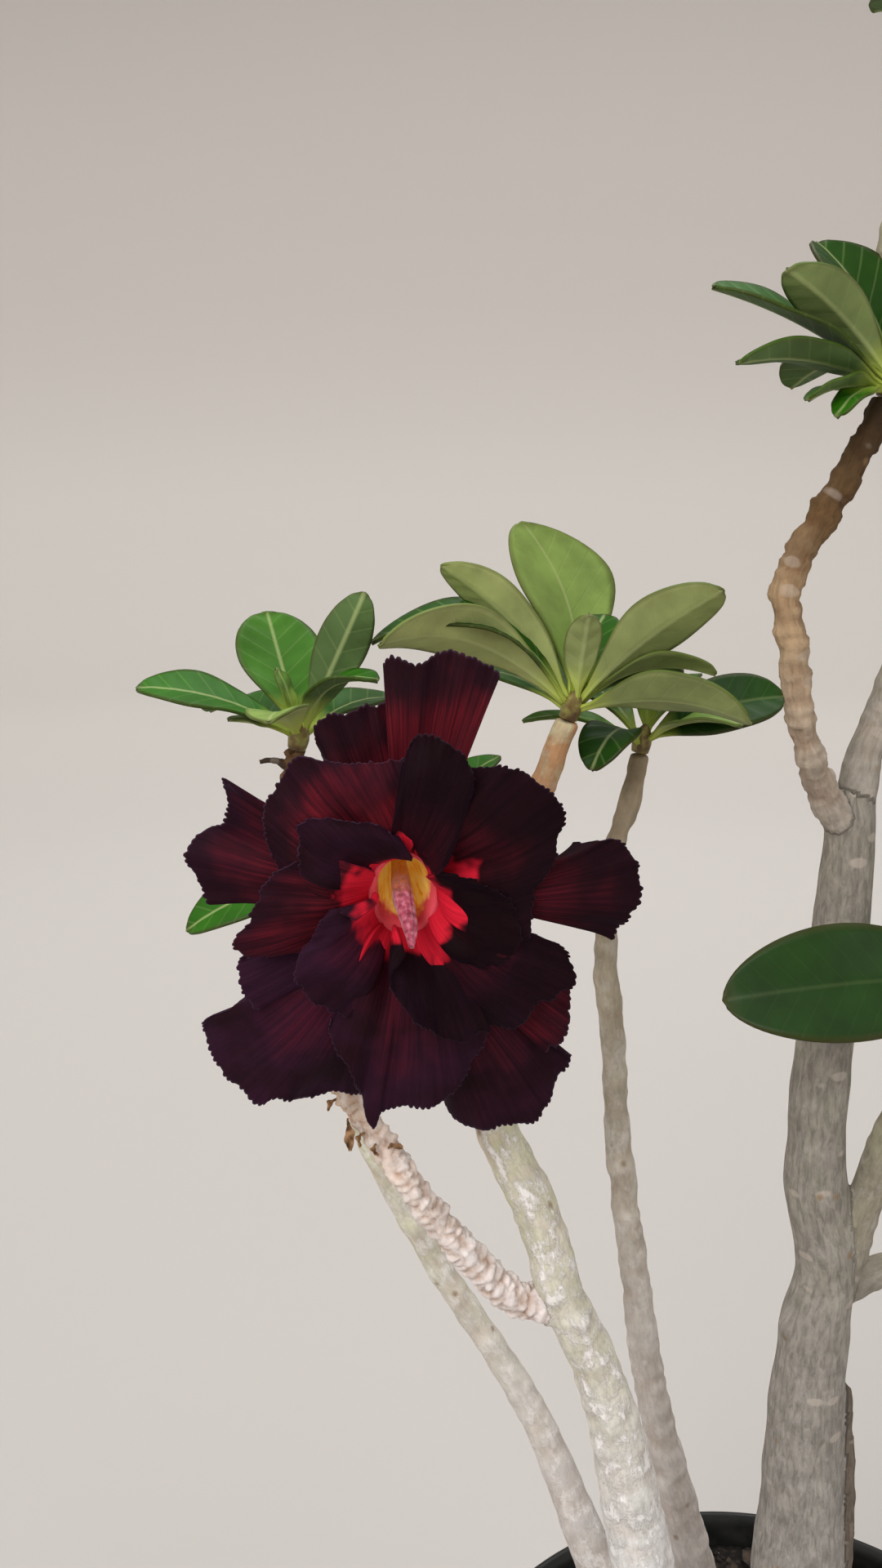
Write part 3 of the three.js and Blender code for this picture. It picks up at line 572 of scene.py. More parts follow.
# Pale scars where leaves once stood, up to 5 mm wide and half as high, on the old and wrinkled bark.
scar_place = add(tree, "Mapping", {"Vector": wrap, "Scale": (1 / (12 * MM), 1 / (12 * MM), 1 / (6 * MM))})
scar = add(tree, "TexVoronoi", {"Vector": scar_place, "Scale": 1, "Randomness": 1})
scar_edge = add(tree, "MapRange", (scar, 0.15, 0.21, 0.45, 0))
scar_share = add(tree, "Math", (scar_edge, kind.outputs["Y"]), operation="MULTIPLY")

# Brown specks, one in every few 9 mm cells.
speck = add(tree, "TexVoronoi", {"Vector": wrap, "Scale": 1 / (9 * MM), "Randomness": 1})
speck_share = add(tree, "MapRange", (speck, 0.04, 0.13, 0.7, 0))

# Each of these lies over the ones before it, by its share.
colour = tint
for share, over, blend in (
        (1, blotch_level, "MULTIPLY"), (groove_share, paint("#bf9c7c"), "MULTIPLY"),
        (green_share, paint("#c8c8a6"), "MIX"), (wrinkle_share, wrinkle_dark, "MULTIPLY"),
        (scrap_share, paint("#f0ecea"), "MIX"), (scar_share, paint("#bfb2a6"), "MIX"),
        (speck_share, paint("#86694a"), "MIX")):
    colour = add(tree, "Mix", {"Factor": share, 6: colour, 7: over}, data_type="RGBA", blend_type=blend)

# A fine grain, the wrinkles and the edges of the scraps are raised.
fine_grain = add(tree, "TexNoise", {
    "Vector": wrap, "Scale": 1 / (0.8 * MM), "Detail": 4, "Roughness": 0.65})
grain_bump = add(tree, "Bump", {"Height": fine_grain, "Strength": 0.7, "Distance": 0.3 * MM})
wrinkle_bump = add(tree, "Bump", {
    "Height": wrinkle, "Strength": kind.outputs["Y"], "Distance": 0.4 * MM, "Normal": grain_bump})
scrap_bump = add(tree, "Bump", {
    "Height": scrap_edge, "Strength": kind.outputs["Z"], "Distance": 0.3 * MM, "Normal": wrinkle_bump})
feed(shader, {"Base Color": colour, "Normal": scrap_bump})
for piece in (trunk, front_branch, rear_branches):
    piece.data.materials.append(bark)
    report(piece)

# %% [markdown]
# ## Leaves: shape
# An adenium leaf is leathery and obovate: a narrow foot, the widest place beyond the middle, a round end
# with a small point, and a raised midrib below. Each is a flat grid that is bent onto a rib and folded up a
# little on both sides of it, and a Solidify modifier then gives it its thickness, more of it along the rib.

# %% The leaves' places
# Per rosette its stem, and per leaf the way from the foot to the tip (x, y, z), arch and width in mm, roll in
# degrees, tone from 0 deep to 1 olive, and for some a sideways sway in mm.
ROSETTES = {
    "left_front": ("scarred", [
        (-32, -6, 14.5, 3, 14, -16, 0.35), (-8, 20, 26, 0, 19, 0, 0.45), (15, 4, 33, -2, 11, -108, 0.35),
        (18, -10, 17, 5, 12, 0, 0.3), (-3, -20, 11, 3, 13, 10, 0.85), (-14, -2, 7, 1, 5, 0, 0.8),
        (-4, 2, 17, 0.5, 5, 0, 0.6), (24, 20, 5, 4, 14, 0, 0.2), (-22, 22, 3, 4, 14, 0, 0.3),
        (5, 30, 2, 5, 14, 0, 0.2)]),
    "middle": ("middle", [
        (-10, 12, 40.5, -2, 29, 0, 0.9, 9), (29, -12, 29.5, 3, 15, -50, 0.85), (35, -18, 4, 4, 19, -38, 0.75),
        (-39, -16, 19.5, 9, 17, 45, 1.0), (-42, 5, 15.5, 12, 17, -8, 0.15), (-27, 2, 32.5, 4, 13, 52, 1.0),
        (3, -8, 24, 1, 8, 0, 0.8), (9, 14, 20, 2, 13, 0, 0.2), (27, 24, 4, 5, 15, 0, 0.2),
        (-6, 36, 3, 6, 16, 0, 0.3), (-28, 26, 2, 5, 15, 0, 0.3), (1, 2, 15, 0, 4.5, 0, 0.6),
        (32, 4, 9, 5, 15, -20, 0.8)]),
    "back": ("back", [
        (31, -6, 14.5, 4, 15, 45, 0.05), (-13, -18, 1, 6, 13, 0, 0.1), (-27, 2, 7, 3, 8, 0, 0.5),
        (19, -18, 11, 3, 10, 0, 0.75), (15, 27, 12, 5, 14, 0, 0.2), (-17, 26, 10, 5, 14, 0, 0.2),
        (4, 8, 22, 1, 9, 0, 0.4), (31, 17, 4, 5, 13, 0, 0.2)]),
    "left_back": ("left_back", [
        (-41, -15, -1, 8, 16, -20, 0.3), (35, 15, 34, 4, 16, 0, 0.3), (-9, 38, 14, 5, 16, 0, 0.2),
        (-33, 23, 16, 5, 15, 0, 0.2), (32, 28, 6, 5, 15, 0, 0.3), (8, 12, 28, 2, 11, 0, 0.4),
        (15, -9, 8, 3, 8, 0, 0.5), (-14, -12, 7, 3, 8, 0, 0.5)]),
    "trunk_left": ("trunk_left", [
        (-35, -6, 19.5, 2, 17, -14, 0.25), (-31, -13, 6.5, 3, 12, 20, 0.4),
        (-23.5, -13, 22, 2, 10.5, 42, 0.6, -1), (-13, 10, 28.5, 2, 26, -10, 0.1, 1),
        (-17, -9, 0, 2, 8, 20, 0.45), (-11, -8, -3, 2, 7, 0, 0.4),
        (35, 3, 14, 5, 15, 0, 0.3), (26, -21, 10, 5, 14, 0, 0.4), (-10, 31, 2, 5, 15, 0, 0.2),
        (7, -14, 19, 2, 10, 0, 0.5), (12, 4, 24, 2, 13, 0, 0.3)]),
    "trunk_right": ("trunk_right", [
        (35, -4, 18, 5, 15, 0, 0.3), (20, 27, 16, 5, 15, 0, 0.2), (1, 34, 8, 5, 15, 0, 0.2),
        (-11, 24, 22, 5, 14, 0, 0.3), (18, -29, 15, 5, 15, 0, 0.3), (-16, -15, 21, 4, 12, 0, 0.4),
        (-5, 6, 29, 1, 12, 0, 0.4), (15, 5, 27, 2, 12, 0, 0.3), (31, 16, 0, 6, 13, 0, 0.2)]),
    "right_front": ("right_front", [
        (-62.5, -16, 4.5, 7, 23.5, -50, 0.02), (41, -15, 17, 6, 18, 0, 0.2), (36, 21, 13, 6, 17, 0, 0.2),
        (3, 35, 16, 5, 16, 0, 0.2), (17, -35, 9, 6, 16, 0, 0.3), (10, -5, 33, 2, 13, 0, 0.4),
        (-9, -21, 21, 3, 11, 0, 0.4), (15, 14, 27, 3, 13, 0, 0.3), (38, 3, -5, 7, 14, 0, 0.2)]),
    "right_back": ("right_back", [
        (36, 9, 15, 5, 15, 0, 0.2), (20, 34, 16, 5, 16, 0, 0.2), (-14, 35, 14, 5, 15, 0, 0.2),
        (-31, 13, 15, 5, 14, 0, 0.3), (22, -31, 13, 5, 15, 0, 0.3), (-13, -28, 12, 5, 13, 0, 0.3),
        (11, 4, 31, 2, 12, 0, 0.4), (-8, 9, 26, 2, 11, 0, 0.4), (33, 23, -4, 6, 12, 0, 0.2)]),
}
CLEARANCE = 0.3  # mm between a stem's end and the shoot on it
SHOOT_LENGTH, SHOOT_RADIUS = 7, 2.3
SHOOT = ((0.3, 2.0), (1.5, 2.2), (2.5, 2.3), (4, 2.1), (5.5, 1.5), (6.8, 0.6))  # height and radius in mm


# %% Bending a grid into a leaf
WIDEST = 0.64  # the widest place, as a share of the leaf's length
LEAF_FOLD = 0.22  # how far each half rises, as a share of its width
LEAF_WAVE, LEAF_PILLOW = 0.45, 0.16  # mm: how far the margin waves, and how far the skin puffs up
LEAF_THICKNESS = 1.35  # mm, at the foot of the rib


def leaf_share(x):
    """Half the leaf's width at a share of its length, as a share of half its greatest width."""
    growing = math.sin(math.pi / 2 * min(x / WIDEST, 1)) ** 1.35
    closing = max(1 - max((x - WIDEST) / (1 - WIDEST), 0) ** 2, 0) ** 0.58
    return max(0.12 * (1 - x), growing * closing)


def grid_blade(bm, columns, rows, point, uv):
    """Bends a flat grid: point(u, v) gives each place, with u from foot to end and v across from -1 to 1."""
    verts = bmesh.ops.create_grid(bm, x_segments=columns, y_segments=rows, size=1)["verts"]
    layer = bm.loops.layers.uv.verify()
    shares = {vert: ((vert.co.y + 1) / 2, vert.co.x) for vert in verts}
    for face in {face for vert in verts for face in vert.link_faces}:
        for loop in face.loops:
            loop[layer].uv = uv(*shares[loop.vert])
    for vert, (u, v) in shares.items():
        vert.co = point(u, v) * MM
    return shares


def grow_leaf(bm, foot, tip, arch, width, roll, sway=0, seed=0):
    """One leaf from its foot to its tip, in mm, that arches above and sways beside the line between them."""
    along = (tip - foot).normalized()
    side = Matrix.Rotation(math.radians(roll), 3, along) @ along.cross(Vector((0, 0, 1))).normalized()
    above = side.cross(along)
    crown = (foot + tip) / 2 + above * 2 * arch + side * 2 * sway
    length = (tip - foot).length

    def point(t, v):
        x = 1 - (1 - t) ** 1.5
        rib = foot * (1 - x) ** 2 + crown * 2 * x * (1 - x) + tip * x * x
        tangent = ((crown - foot) * (1 - x) + (tip - crown) * x).normalized()
        normal = side.cross(tangent)
        half = width / 2 * leaf_share(x)
        wave = LEAF_WAVE * math.sin(x * 11 + seed) * v * abs(v) * math.sin(math.pi * x)
        swell = math.sin(math.pi * abs(v)) * math.sin((x * length - abs(v) * half * 0.7) * 1.5)
        pillow = LEAF_PILLOW * swell * (x > 0.1)
        return rib + side * v * half + normal * (LEAF_FOLD * abs(v) * half + wave + pillow)

    def uv(t, v):
        x = 1 - (1 - t) ** 1.5
        return (v * width / 2 * leaf_share(x) * MM + 0.5, x * length * MM)

    return grid_blade(bm, 12, 30, point, uv)


# %% A rosette of leaves on its shoot
def leaf_spring(stem, reach):
    """Where a leaf springs from its shoot, and the shoot's foot and direction, in mm."""
    end, along = stem_end(stem)
    foot = end + along * CLEARANCE
    steepness = max(0, reach.z / reach.length)
    outward = Vector((reach.x, reach.y, 0)).normalized()
    spring = foot + along * SHOOT_LENGTH * (0.25 + 0.45 * steepness) + outward * SHOOT_RADIUS * 0.45
    return spring, foot, along


def grow_rosette(name, materials):
    """All the leaves of one stem's end, with the green shoot that they spring from."""
    stem, leaves = ROSETTES[name]
    bm = bmesh.new()
    ribs, looks = {}, {}
    for number, (x, y, z, arch, width, roll, tone, *sway) in enumerate(leaves):
        reach = Vector((x, y, z))
        spring, foot, along = leaf_spring(stem, reach)
        shares = grow_leaf(bm, spring, foot + reach, arch, width, roll, *sway, seed=number * 1.7)
        for vert, (u, v) in shares.items():
            ribs[vert] = max(1.0 - 0.3 * u - 4 * abs(v), 0.58 - 0.1 * abs(v))
            looks[vert] = (tone, max(abs(v), u), 0)
    ribs = [ribs[vert] for vert in bm.verts]
    looks = [value for vert in bm.verts for value in looks[vert]]
    piece = make_piece("rosette_" + name, bm, materials, "leaves_" + name)
    store(piece, "leaf_look", looks)
    thicken(piece, LEAF_THICKNESS, ribs).material_offset = 1
    mesh = apply_modifiers(piece)

    bm = bmesh.new()
    bm.from_mesh(mesh)
    steps = follow([(*(foot + along * height), radius) for height, radius in SHOOT], 0.7)
    before = len(bm.faces)
    grow_limb(bm, stand_frames(steps), 16)
    bm.faces.ensure_lookup_table()
    for face in bm.faces[before:]:
        face.material_index = 2
        face.smooth = True
    bmesh.ops.remove_doubles(bm, verts=bm.verts, dist=0.005 * MM)
    bm.to_mesh(mesh)
    bm.free()
    return piece


# %% [markdown]
# ## Leaves: finish
# The upper side is a waxy green with a pale midrib and fine pale side veins. The underside is dull and
# olive. Both have the leaf's own flat coordinates in metres as a UV map, so the midrib is where its first
# number is a half, and the side veins slant away from it every 4.5 mm. The shoots that carry the leaves are
# brown and green, and a few withered bracts cling to the branch under the bloom, so both are mottled.

# %% Leaf materials
VEIN_PITCH, VEIN_SLANT = 4.5, 0.75  # mm between side veins, and how far they run forward for each mm outward


def leaf_material(name, deep, fresh, olive, roughness, coat):
    """A leaf side whose green runs from deep to fresh to olive with the leaf's tone."""
    material, tree, shader = new_material(
        name, Roughness=roughness, IOR=1.45, Specular_IOR_Level=0.15, Coat_Weight=coat,
        Coat_Roughness=0.35)
    look = add(tree, "SeparateXYZ", (add(tree, "Attribute", attribute_name="leaf_look").outputs["Vector"],))
    flat = add(tree, "UVMap")
    parts = add(tree, "SeparateXYZ", (flat,))
    across = add(tree, "Math", (parts.outputs["X"], 0.5), operation="SUBTRACT")
    apart = add(tree, "Math", (across,), operation="ABSOLUTE")
    tone = add(tree, "ValToRGB", (look.outputs["X"],), stops=((0, deep), (1, olive), (0.4, fresh)))
    patch = add(tree, "TexNoise", {"Vector": flat, "Scale": 1 / (9 * MM), "Detail": 4})
    level = add(tree, "MapRange", (patch, 0.3, 0.7, 0.78, 1.2))
    # The side veins are the crests of a wave that slants forward away from the midrib.
    slant = add(tree, "Math", (apart, -VEIN_SLANT, parts.outputs["Y"]), operation="MULTIPLY_ADD")
    waves = add(tree, "Math", (slant, 2 * math.pi / (VEIN_PITCH * MM)), operation="MULTIPLY")
    crest = add(tree, "Math", (waves,), operation="COSINE")
    vein = add(tree, "MapRange", (crest, 0.9, 1, 0, 0.14))
    shown = add(tree, "ValToRGB", (look.outputs["X"],), stops=(
        (0.04, "#454545"), (1, "#595959"), (0.1, "#f3f3f3")))
    vein_share = add(tree, "Math", (vein, shown), operation="MULTIPLY")
    midrib = add(tree, "MapRange", (apart, 0.15 * MM, 0.6 * MM, 0.45, 0))
    rib_shown = add(tree, "MapRange", (look.outputs["X"], 0.04, 0.1, 0.08, 1))
    rib_share = add(tree, "Math", (midrib, rib_shown), operation="MULTIPLY")
    rim = add(tree, "MapRange", (look.outputs["Y"], 0.86, 1, 0, 0.55))
    stalk = add(tree, "MapRange", (parts.outputs["Y"], 2 * MM, 9 * MM, 0.8, 0))
    colour = add(tree, "Mix", {"Factor": 1, 6: tone, 7: level}, data_type="RGBA", blend_type="MULTIPLY")
    for share, over in (
            (vein_share, "#a3b878"), (rib_share, "#b4be82"), (rim, "#42381c"), (stalk, "#aebc4e")):
        colour = add(tree, "Mix", {"Factor": share, 6: colour, 7: paint(over)}, data_type="RGBA")
    grain = add(tree, "TexNoise", {"Vector": flat, "Scale": 1 / (0.9 * MM), "Detail": 3})
    grain_bump = add(tree, "Bump", {"Height": grain, "Strength": 0.35, "Distance": 0.12 * MM})
    vein_bump = add(tree, "Bump", {
        "Height": vein, "Strength": 0.6, "Distance": -0.3 * MM, "Normal": grain_bump})
    feed(shader, {"Base Color": colour, "Normal": vein_bump})
    return material


leaf_top = leaf_material("waxy_leaf_upper_side", "#1a320e", "#2c660b", "#90a658", 0.5, 0.08)
leaf_under = leaf_material("matt_leaf_underside", "#3f5226", "#50663a", "#a2aa6c", 0.7, 0.0)

shoot_green = mottled_material(
    "green_shoot_skin", (2, 3, 0.5), ((0.38, "#5f4830"), (0.7, "#97994e"), (0.54, "#80703c")),
    bump=(0.7, 0.4), Roughness=0.55, IOR=1.45)

# %% Dried scales
DRIED_SCALES = [  # foot and tip in mm, and width: withered bracts on the scarred branch under the bloom
    ((-114, -12, 392), (-113.5, -15, 386), 1.9), ((-105.5, -15, 386.5), (-102.4, -16, 387.4), 1.0),
    ((-110.5, -13.5, 389.5), (-111.5, -15.5, 387.3), 1.3), ((-108, -15.5, 388), (-107.6, -17, 386), 1.2),
    ((-116, -9, 395), (-118.5, -11, 393.5), 1.4),
]
dry_skin = mottled_material(
    "withered_bract", (1.6, 3, 0.5), ((0.35, "#4a3222"), (0.68, "#b08a66"), (0.5, "#7d5c40")),
    Roughness=0.9, IOR=1.45, Specular_IOR_Level=0.2)
bm = bmesh.new()
for number, (foot, tip, width) in enumerate(DRIED_SCALES):
    grow_leaf(bm, Vector(foot), Vector(tip), 0.8, width, 20 * number, seed=number)
scales = make_piece("dried_scales", bm, [dry_skin], "stems")
thick = scales.modifiers.new("Thickness", "SOLIDIFY")
thick.thickness = 0.4 * MM
apply_modifiers(scales)
report(scales)

# %% Grow the eight rosettes
for name in ROSETTES:
    report(grow_rosette(name, [leaf_top, leaf_under, shoot_green]))

# %% [markdown]
# ## Bloom: petals
# A double adenium bloom has whorls of five petals on one funnel. Each petal is a fan: it leaves the throat
# narrow, widens, and ends in a frilled margin with teeth about 1.15 mm apart. A petal is given by the
# corners of its margin and by how it bends, and a fine grid is bent onto that, ruffled and toothed.

# %% The bloom's place and the petals
BLOOM_AT, BLOOM_TURN, BLOOM_NOD = (-101, -38, 453), 5, 5  # the throat's centre in mm, then degrees
THROAT_RADIUS, TUBE_LENGTH, NECK_RADIUS = 9, 31, 3.4  # mm
MOUTH_SHAPE, MOUTH_SHIFT = (0.7, 0.94), (0.4, 1.2)  # the throat's mouth is oval: shares of its radius, and mm
PETAL_THICKNESS, MARGIN_THINNING, ROOT_HALF_WIDTH = 0.7, 0.68, 3.0  # mm, a share of the first, and mm
TOOTH_PITCH, TOOTH_HEIGHT = 1.15, 0.95  # mm

# Per petal: how it bends (fan, rise, ruffle, curl of the margin), its look (how far the red streaks reach,
# how strong they are, how blue its painted sheen is), its throat (how far the bright red reaches from the
# throat's centre in mm, and how light the skin is: partly the petal's own tone, partly painted shade on the
# petals that lie in shadow), and its margin from the clockwise corner on, as (right, up, out) from the
# throat's centre in mm.
OUTER_PETALS = [
    ((1.1, 2, 1.3, -1), (0.95, 1.0, 0.1), (12, 1.0),
     [(18, 41, -5), (15, 43, -5), (9, 45, -4), (3, 44, -4), (-2, 44, -5), (-2, 39, -6)]),
    ((0.9, 1, 1.2, -0.5), (0.9, 0.8, 0.1), (12, 1.0),
     [(2, 36, -7), (-6, 35, -7), (-11, 34, -7), (-15, 31, -7), (-14, 26, -7)]),
    ((1.0, 3, 1.6, 0.8), (0.9, 0.6, 0.35), (12, 1.0),
     [(-26, 16.5, -7), (-30.2, 22.5, -6), (-31.3, 23.9, -6), (-31.5, 22.4, -6), (-31.6, 14.2, -6),
      (-37.3, 11.3, -6), (-38.9, 8, -6), (-35.5, -1.5, -7)]),
    ((1.1, 3, 2.0, -1), (0.75, 0.35, 0.7), (12, 1.1),
     [(-28, -21, -5), (-35, -26, -6), (-39, -30, -6), (-38, -36, -6), (-34, -42, -5), (-29, -46, -5),
      (-25, -44, -5), (-20, -46, -5), (-14, -46, -6), (-8, -49, -7)]),
    ((1.1, 3, 2.0, 0.8), (0.85, 0.35, 0.35), (12, 1.0),
     [(8, -44, -7), (9, -52, -7), (14, -54, -6), (20, -53, -5), (26, -53, -5), (30, -47, -5), (34, -41, -6),
      (30, -36, -6)]),
    ((1.9, 3, 1.5, -1), (0.9, 0.45, 0.1), (12, 0.9),
     [(41, -14, -6), (44, -8, -6), (46, -3, -5), (45, 3, -5), (39, 8, -6), (33, 7, -7)]),
    ((0.8, 2, 1.0, 0.5), (0.5, 0.15, 0.85), (10, 1.1),
     [(-26, -8, -2), (-30, -12, -3), (-31, -17, -3), (-28, -22, -3), (-23, -23, -3)]),
    ((0.8, 2, 1.0, 0.5), (1.1, 0.9, 0.2), (10, 1.2),
     [(28, -36, -2), (31, -32, -1), (32, -24, -1), (32, -18, -1)]),
]
INNER_PETALS = [
    ((0.6, 4, 1.2, -0.8), (0.92, 1.05, 0.25), (14, 1.1),
     [(2, 28, 1), (-5, 28, 2), (-12, 29, 3), (-18, 29, 3), (-21, 25, 3), (-24, 20, 2), (-24, 14, 1),
      (-22, 6, 0)]),
    ((0.6, 4, 1.2, 0.6), (0.7, 0.3, 0.05), (13, 0.7),
     [(23, -7, 2), (24, 1, 2), (27, 6, 1), (29, 12, 0), (29, 17, -1), (25, 22, 0), (20, 26, 1), (11, 26, 1)]),
    ((0.6, 4, 1.2, 0.6), (0.6, 0.25, 0.3), (11, 0.65),
     [(13, -27, 3), (21, -26, 3), (24, -22, 3), (29, -18, 3), (32, -16, 3), (31, -12.5, 2), (28, -9, 2),
      (22, -7, 1)]),
    ((0.7, 4, 1.1, 0.6), (0.75, 0.4, 0.6), (14, 1.1),
     [(-13, -20, 2), (-14, -27, 1), (-11, -34, 1), (-8.5, -42, 0), (-6.5, -50, 0), (-4.5, -46.5, 0),
      (0, -45, 1), (6, -43, 2), (11, -38, 1), (16, -28, 0)]),
    ((0.7, 3, 0.9, 0.5), (0.95, 0.75, 0.25), (12.5, 1.1),
     [(-16, 13, 3), (-22, 8, 3), (-26, 3, 2), (-28, -2, 2), (-31, -7, 1), (-27, -10, 1), (-22, -10, 1)]),
    ((0.55, 4, 0.9, -1.2), (0.5, 0.2, 0.2), (9, 0.6),
     [(10, 14, 4), (12, 21, 5), (12, 27, 5), (8, 32, 6), (3, 33, 6), (0, 28, 4)]),
    ((0.55, 3, 0.8, -0.8), (0.5, 0.35, 0.5), (9.5, 0.95),
     [(-1, 15, 5), (-6, 18, 6), (-12, 19, 7), (-18, 18, 6), (-18, 13, 5), (-19, 8, 4)]),
    ((0.6, 4, 0.9, 1.2), (0.6, 0.4, 0.8), (9.5, 1.05),
     [(-9, 0, 5), (-13, 2, 6), (-17, -4, 6), (-20, -9, 6), (-18, -15, 5), (-11, -22, 4)]),
    ((0.6, 3, 0.9, 1.2), (0.3, 0.15, 0.3), (8.5, 0.55),
     [(0, -7, 8), (-3, -11, 9), (-1, -16, 9), (4, -22, 8), (9, -26, 7), (16, -25, 5)]),
    ((0.55, 3, 0.7, 0.6), (0.4, 0.2, 0), (8.5, 0.5),
     [(12, -12, 4), (19, -10, 5), (21, -4, 5), (18, 3, 5), (9, 8, 5)]),
]

facing = (Matrix.Rotation(math.radians(BLOOM_TURN), 3, "Z")
          @ Matrix.Rotation(math.radians(90 + BLOOM_NOD), 3, "X") @ Vector((0, 0, 1)))
rightward = (Vector((1, 0, 0)) - facing * facing.x).normalized()
upward = facing.cross(rightward)
bloom_turn = Matrix((rightward, upward, facing)).transposed().to_4x4()
BLOOM_PLACE = Matrix.Translation(Vector(BLOOM_AT) * MM) @ bloom_turn


# %% Bending a grid into a petal
def smooth_step(low, high, value):
    """0 below low, 1 above high, and a smooth rise between them."""
    share = clamp((value - low) / (high - low))
    return share * share * (3 - 2 * share)


def grow_petal(bm, petal, number):
    """One petal, from its root in the throat to its toothed margin."""
    (fan, rise, ruffling, curl), _, _, corners = petal
    edge = follow([(*corner, 1) for corner in corners], 0.3)
    lengths = [step["distance"] / edge[-1]["distance"] for step in edge]
    places = [step["place"] / MM for step in edge]

    def along_margin(share):
        after = min(bisect.bisect_left(lengths, share), len(lengths) - 1)
        before = max(after - 1, 0)
        gap = lengths[after] - lengths[before]
        return places[before].lerp(places[after], (share - lengths[before]) / gap if gap else 0)

    tip = along_margin(0.5)
    turn = math.atan2(tip.y, tip.x)
    outward = Vector((math.cos(turn), math.sin(turn), 0))
    sideways = Vector((-math.sin(turn), math.cos(turn), 0))
    mouth = THROAT_RADIUS - 0.9
    root = Vector((MOUTH_SHIFT[0] + outward.x * mouth * MOUTH_SHAPE[0],
                   MOUTH_SHIFT[1] + outward.y * mouth * MOUTH_SHAPE[1], -1.4))
    teeth = max(9, round(edge[-1]["distance"] / MM / TOOTH_PITCH))
    luck = random.Random(number)
    heights = [luck.random() for _ in range(teeth + 1)]

    def tooth(v):
        spot = (v + 1) / 2 * teeth
        wander = 0.8 * noise.noise(Vector((v * 6, number * 3.7, 0.5)))
        return TOOTH_HEIGHT * (heights[min(int(spot), teeth)] * (1 - abs(2 * (spot % 1) - 1)) - 0.3 + wander)

    def point(t, across):
        u = 1 - (1 - t) ** 1.25
        v = -across
        margin = along_margin((v + 1) / 2) - tip
        margin += (margin + tip - root).normalized() * tooth(v) * smooth_step(0.93, 1, u)
        spread = u ** fan
        # Broad and finer ruffles, a frill on the margin, pleats along the veins, and a slow billow.
        ruffle = ruffling * u * u * math.sin(v * 4.4 + number * 2.1)
        ruffle += 0.5 * ruffling * u ** 4 * math.sin(v * (9 + number % 4) + number * 1.3)
        frill = 0.3 * u ** 8 * math.sin(v * (23 + number % 5) + number)
        pleat = 0.2 * math.sin(math.pi * u) * math.sin(v * 12 + number * 0.7)
        billow = 0.5 * math.sin(math.pi * u) * math.sin(u * 8 + v * 2 + number)
        place = root.lerp(tip, u) + margin * spread + sideways * v * ROOT_HALF_WIDTH * (1 - spread)
        place.z += rise * math.sin(math.pi * u ** 0.8) + ruffle + frill + pleat + billow
        place.z += curl * smooth_step(0.72, 1, u)
        return place

    return grid_blade(bm, teeth * 3, 24, point, lambda t, v: ((1 - v) / 2, 1 - (1 - t) ** 1.25))


def grow_petals(name, petals, first, materials):
    """A piece from several petals, in the bloom's place."""
    bm = bmesh.new()
    looks, heats_and_shades, thickness = [], [], []
    for number, petal in enumerate(petals, first):
        # Each petal's lightness also holds painted shade, which darkens the petals that lie in shadow.
        _, look, (heat, lightness_and_painted_shade), _ = petal
        for u, _ in grow_petal(bm, petal, number).values():
            looks.extend(look)
            heats_and_shades.extend((heat * MM, lightness_and_painted_shade, number))
            thickness.append(1 - MARGIN_THINNING * smooth_step(0.55, 1, u))
    bmesh.ops.transform(bm, matrix=BLOOM_PLACE, verts=bm.verts)
    piece = make_piece(name, bm, materials, "corolla")
    store(piece, "petal_look", looks)
    store(piece, "petal_heat_and_shade", heats_and_shades)
    thicken(piece, PETAL_THICKNESS, thickness)
    apply_modifiers(piece)
    return piece


# %% [markdown]
# ## Bloom: the petals' finish
# The petals are velvet: tiny cells scatter light at grazing angles, which is what sheen does. They are a
# maroon near black, with red that streaks out from the throat along about fifty veins and a thin pale line
# along the margin. The UV map runs across the petal in X and from root to margin in Y.

# %% Petal material
petal_velvet, tree, shader = new_material(
    "velvet_petal_skin", Roughness=0.7, IOR=1.4, Sheen_Weight=0.05, Sheen_Roughness=0.4,
    Sheen_Tint=paint("#8a7ab8"), Specular_IOR_Level=0.08)
flat = add(tree, "UVMap")
reach = add(tree, "SeparateXYZ", (flat,)).outputs["Y"]
look = add(tree, "SeparateXYZ", (add(tree, "Attribute", attribute_name="petal_look").outputs["Vector"],))
petal_heat_and_shade = add(tree, "Attribute", attribute_name="petal_heat_and_shade").outputs["Vector"]
heat_and_shade = add(tree, "SeparateXYZ", (petal_heat_and_shade,))
place = add(tree, "TexCoord").outputs["Object"]

# Fifty veins across a petal, each running most of its length, and different ones on each petal.
fanned = add(tree, "VectorMath", (flat, (50, 1.6, 0)), operation="MULTIPLY")
apart = add(tree, "Math", (heat_and_shade.outputs["Z"], 7.3), operation="MULTIPLY")
shifted = add(tree, "CombineXYZ", {"Z": apart})
vein_place = add(tree, "VectorMath", (fanned, shifted), operation="ADD")
veins = add(tree, "TexNoise", {"Vector": vein_place, "Scale": 1, "Detail": 3, "Roughness": 0.6})

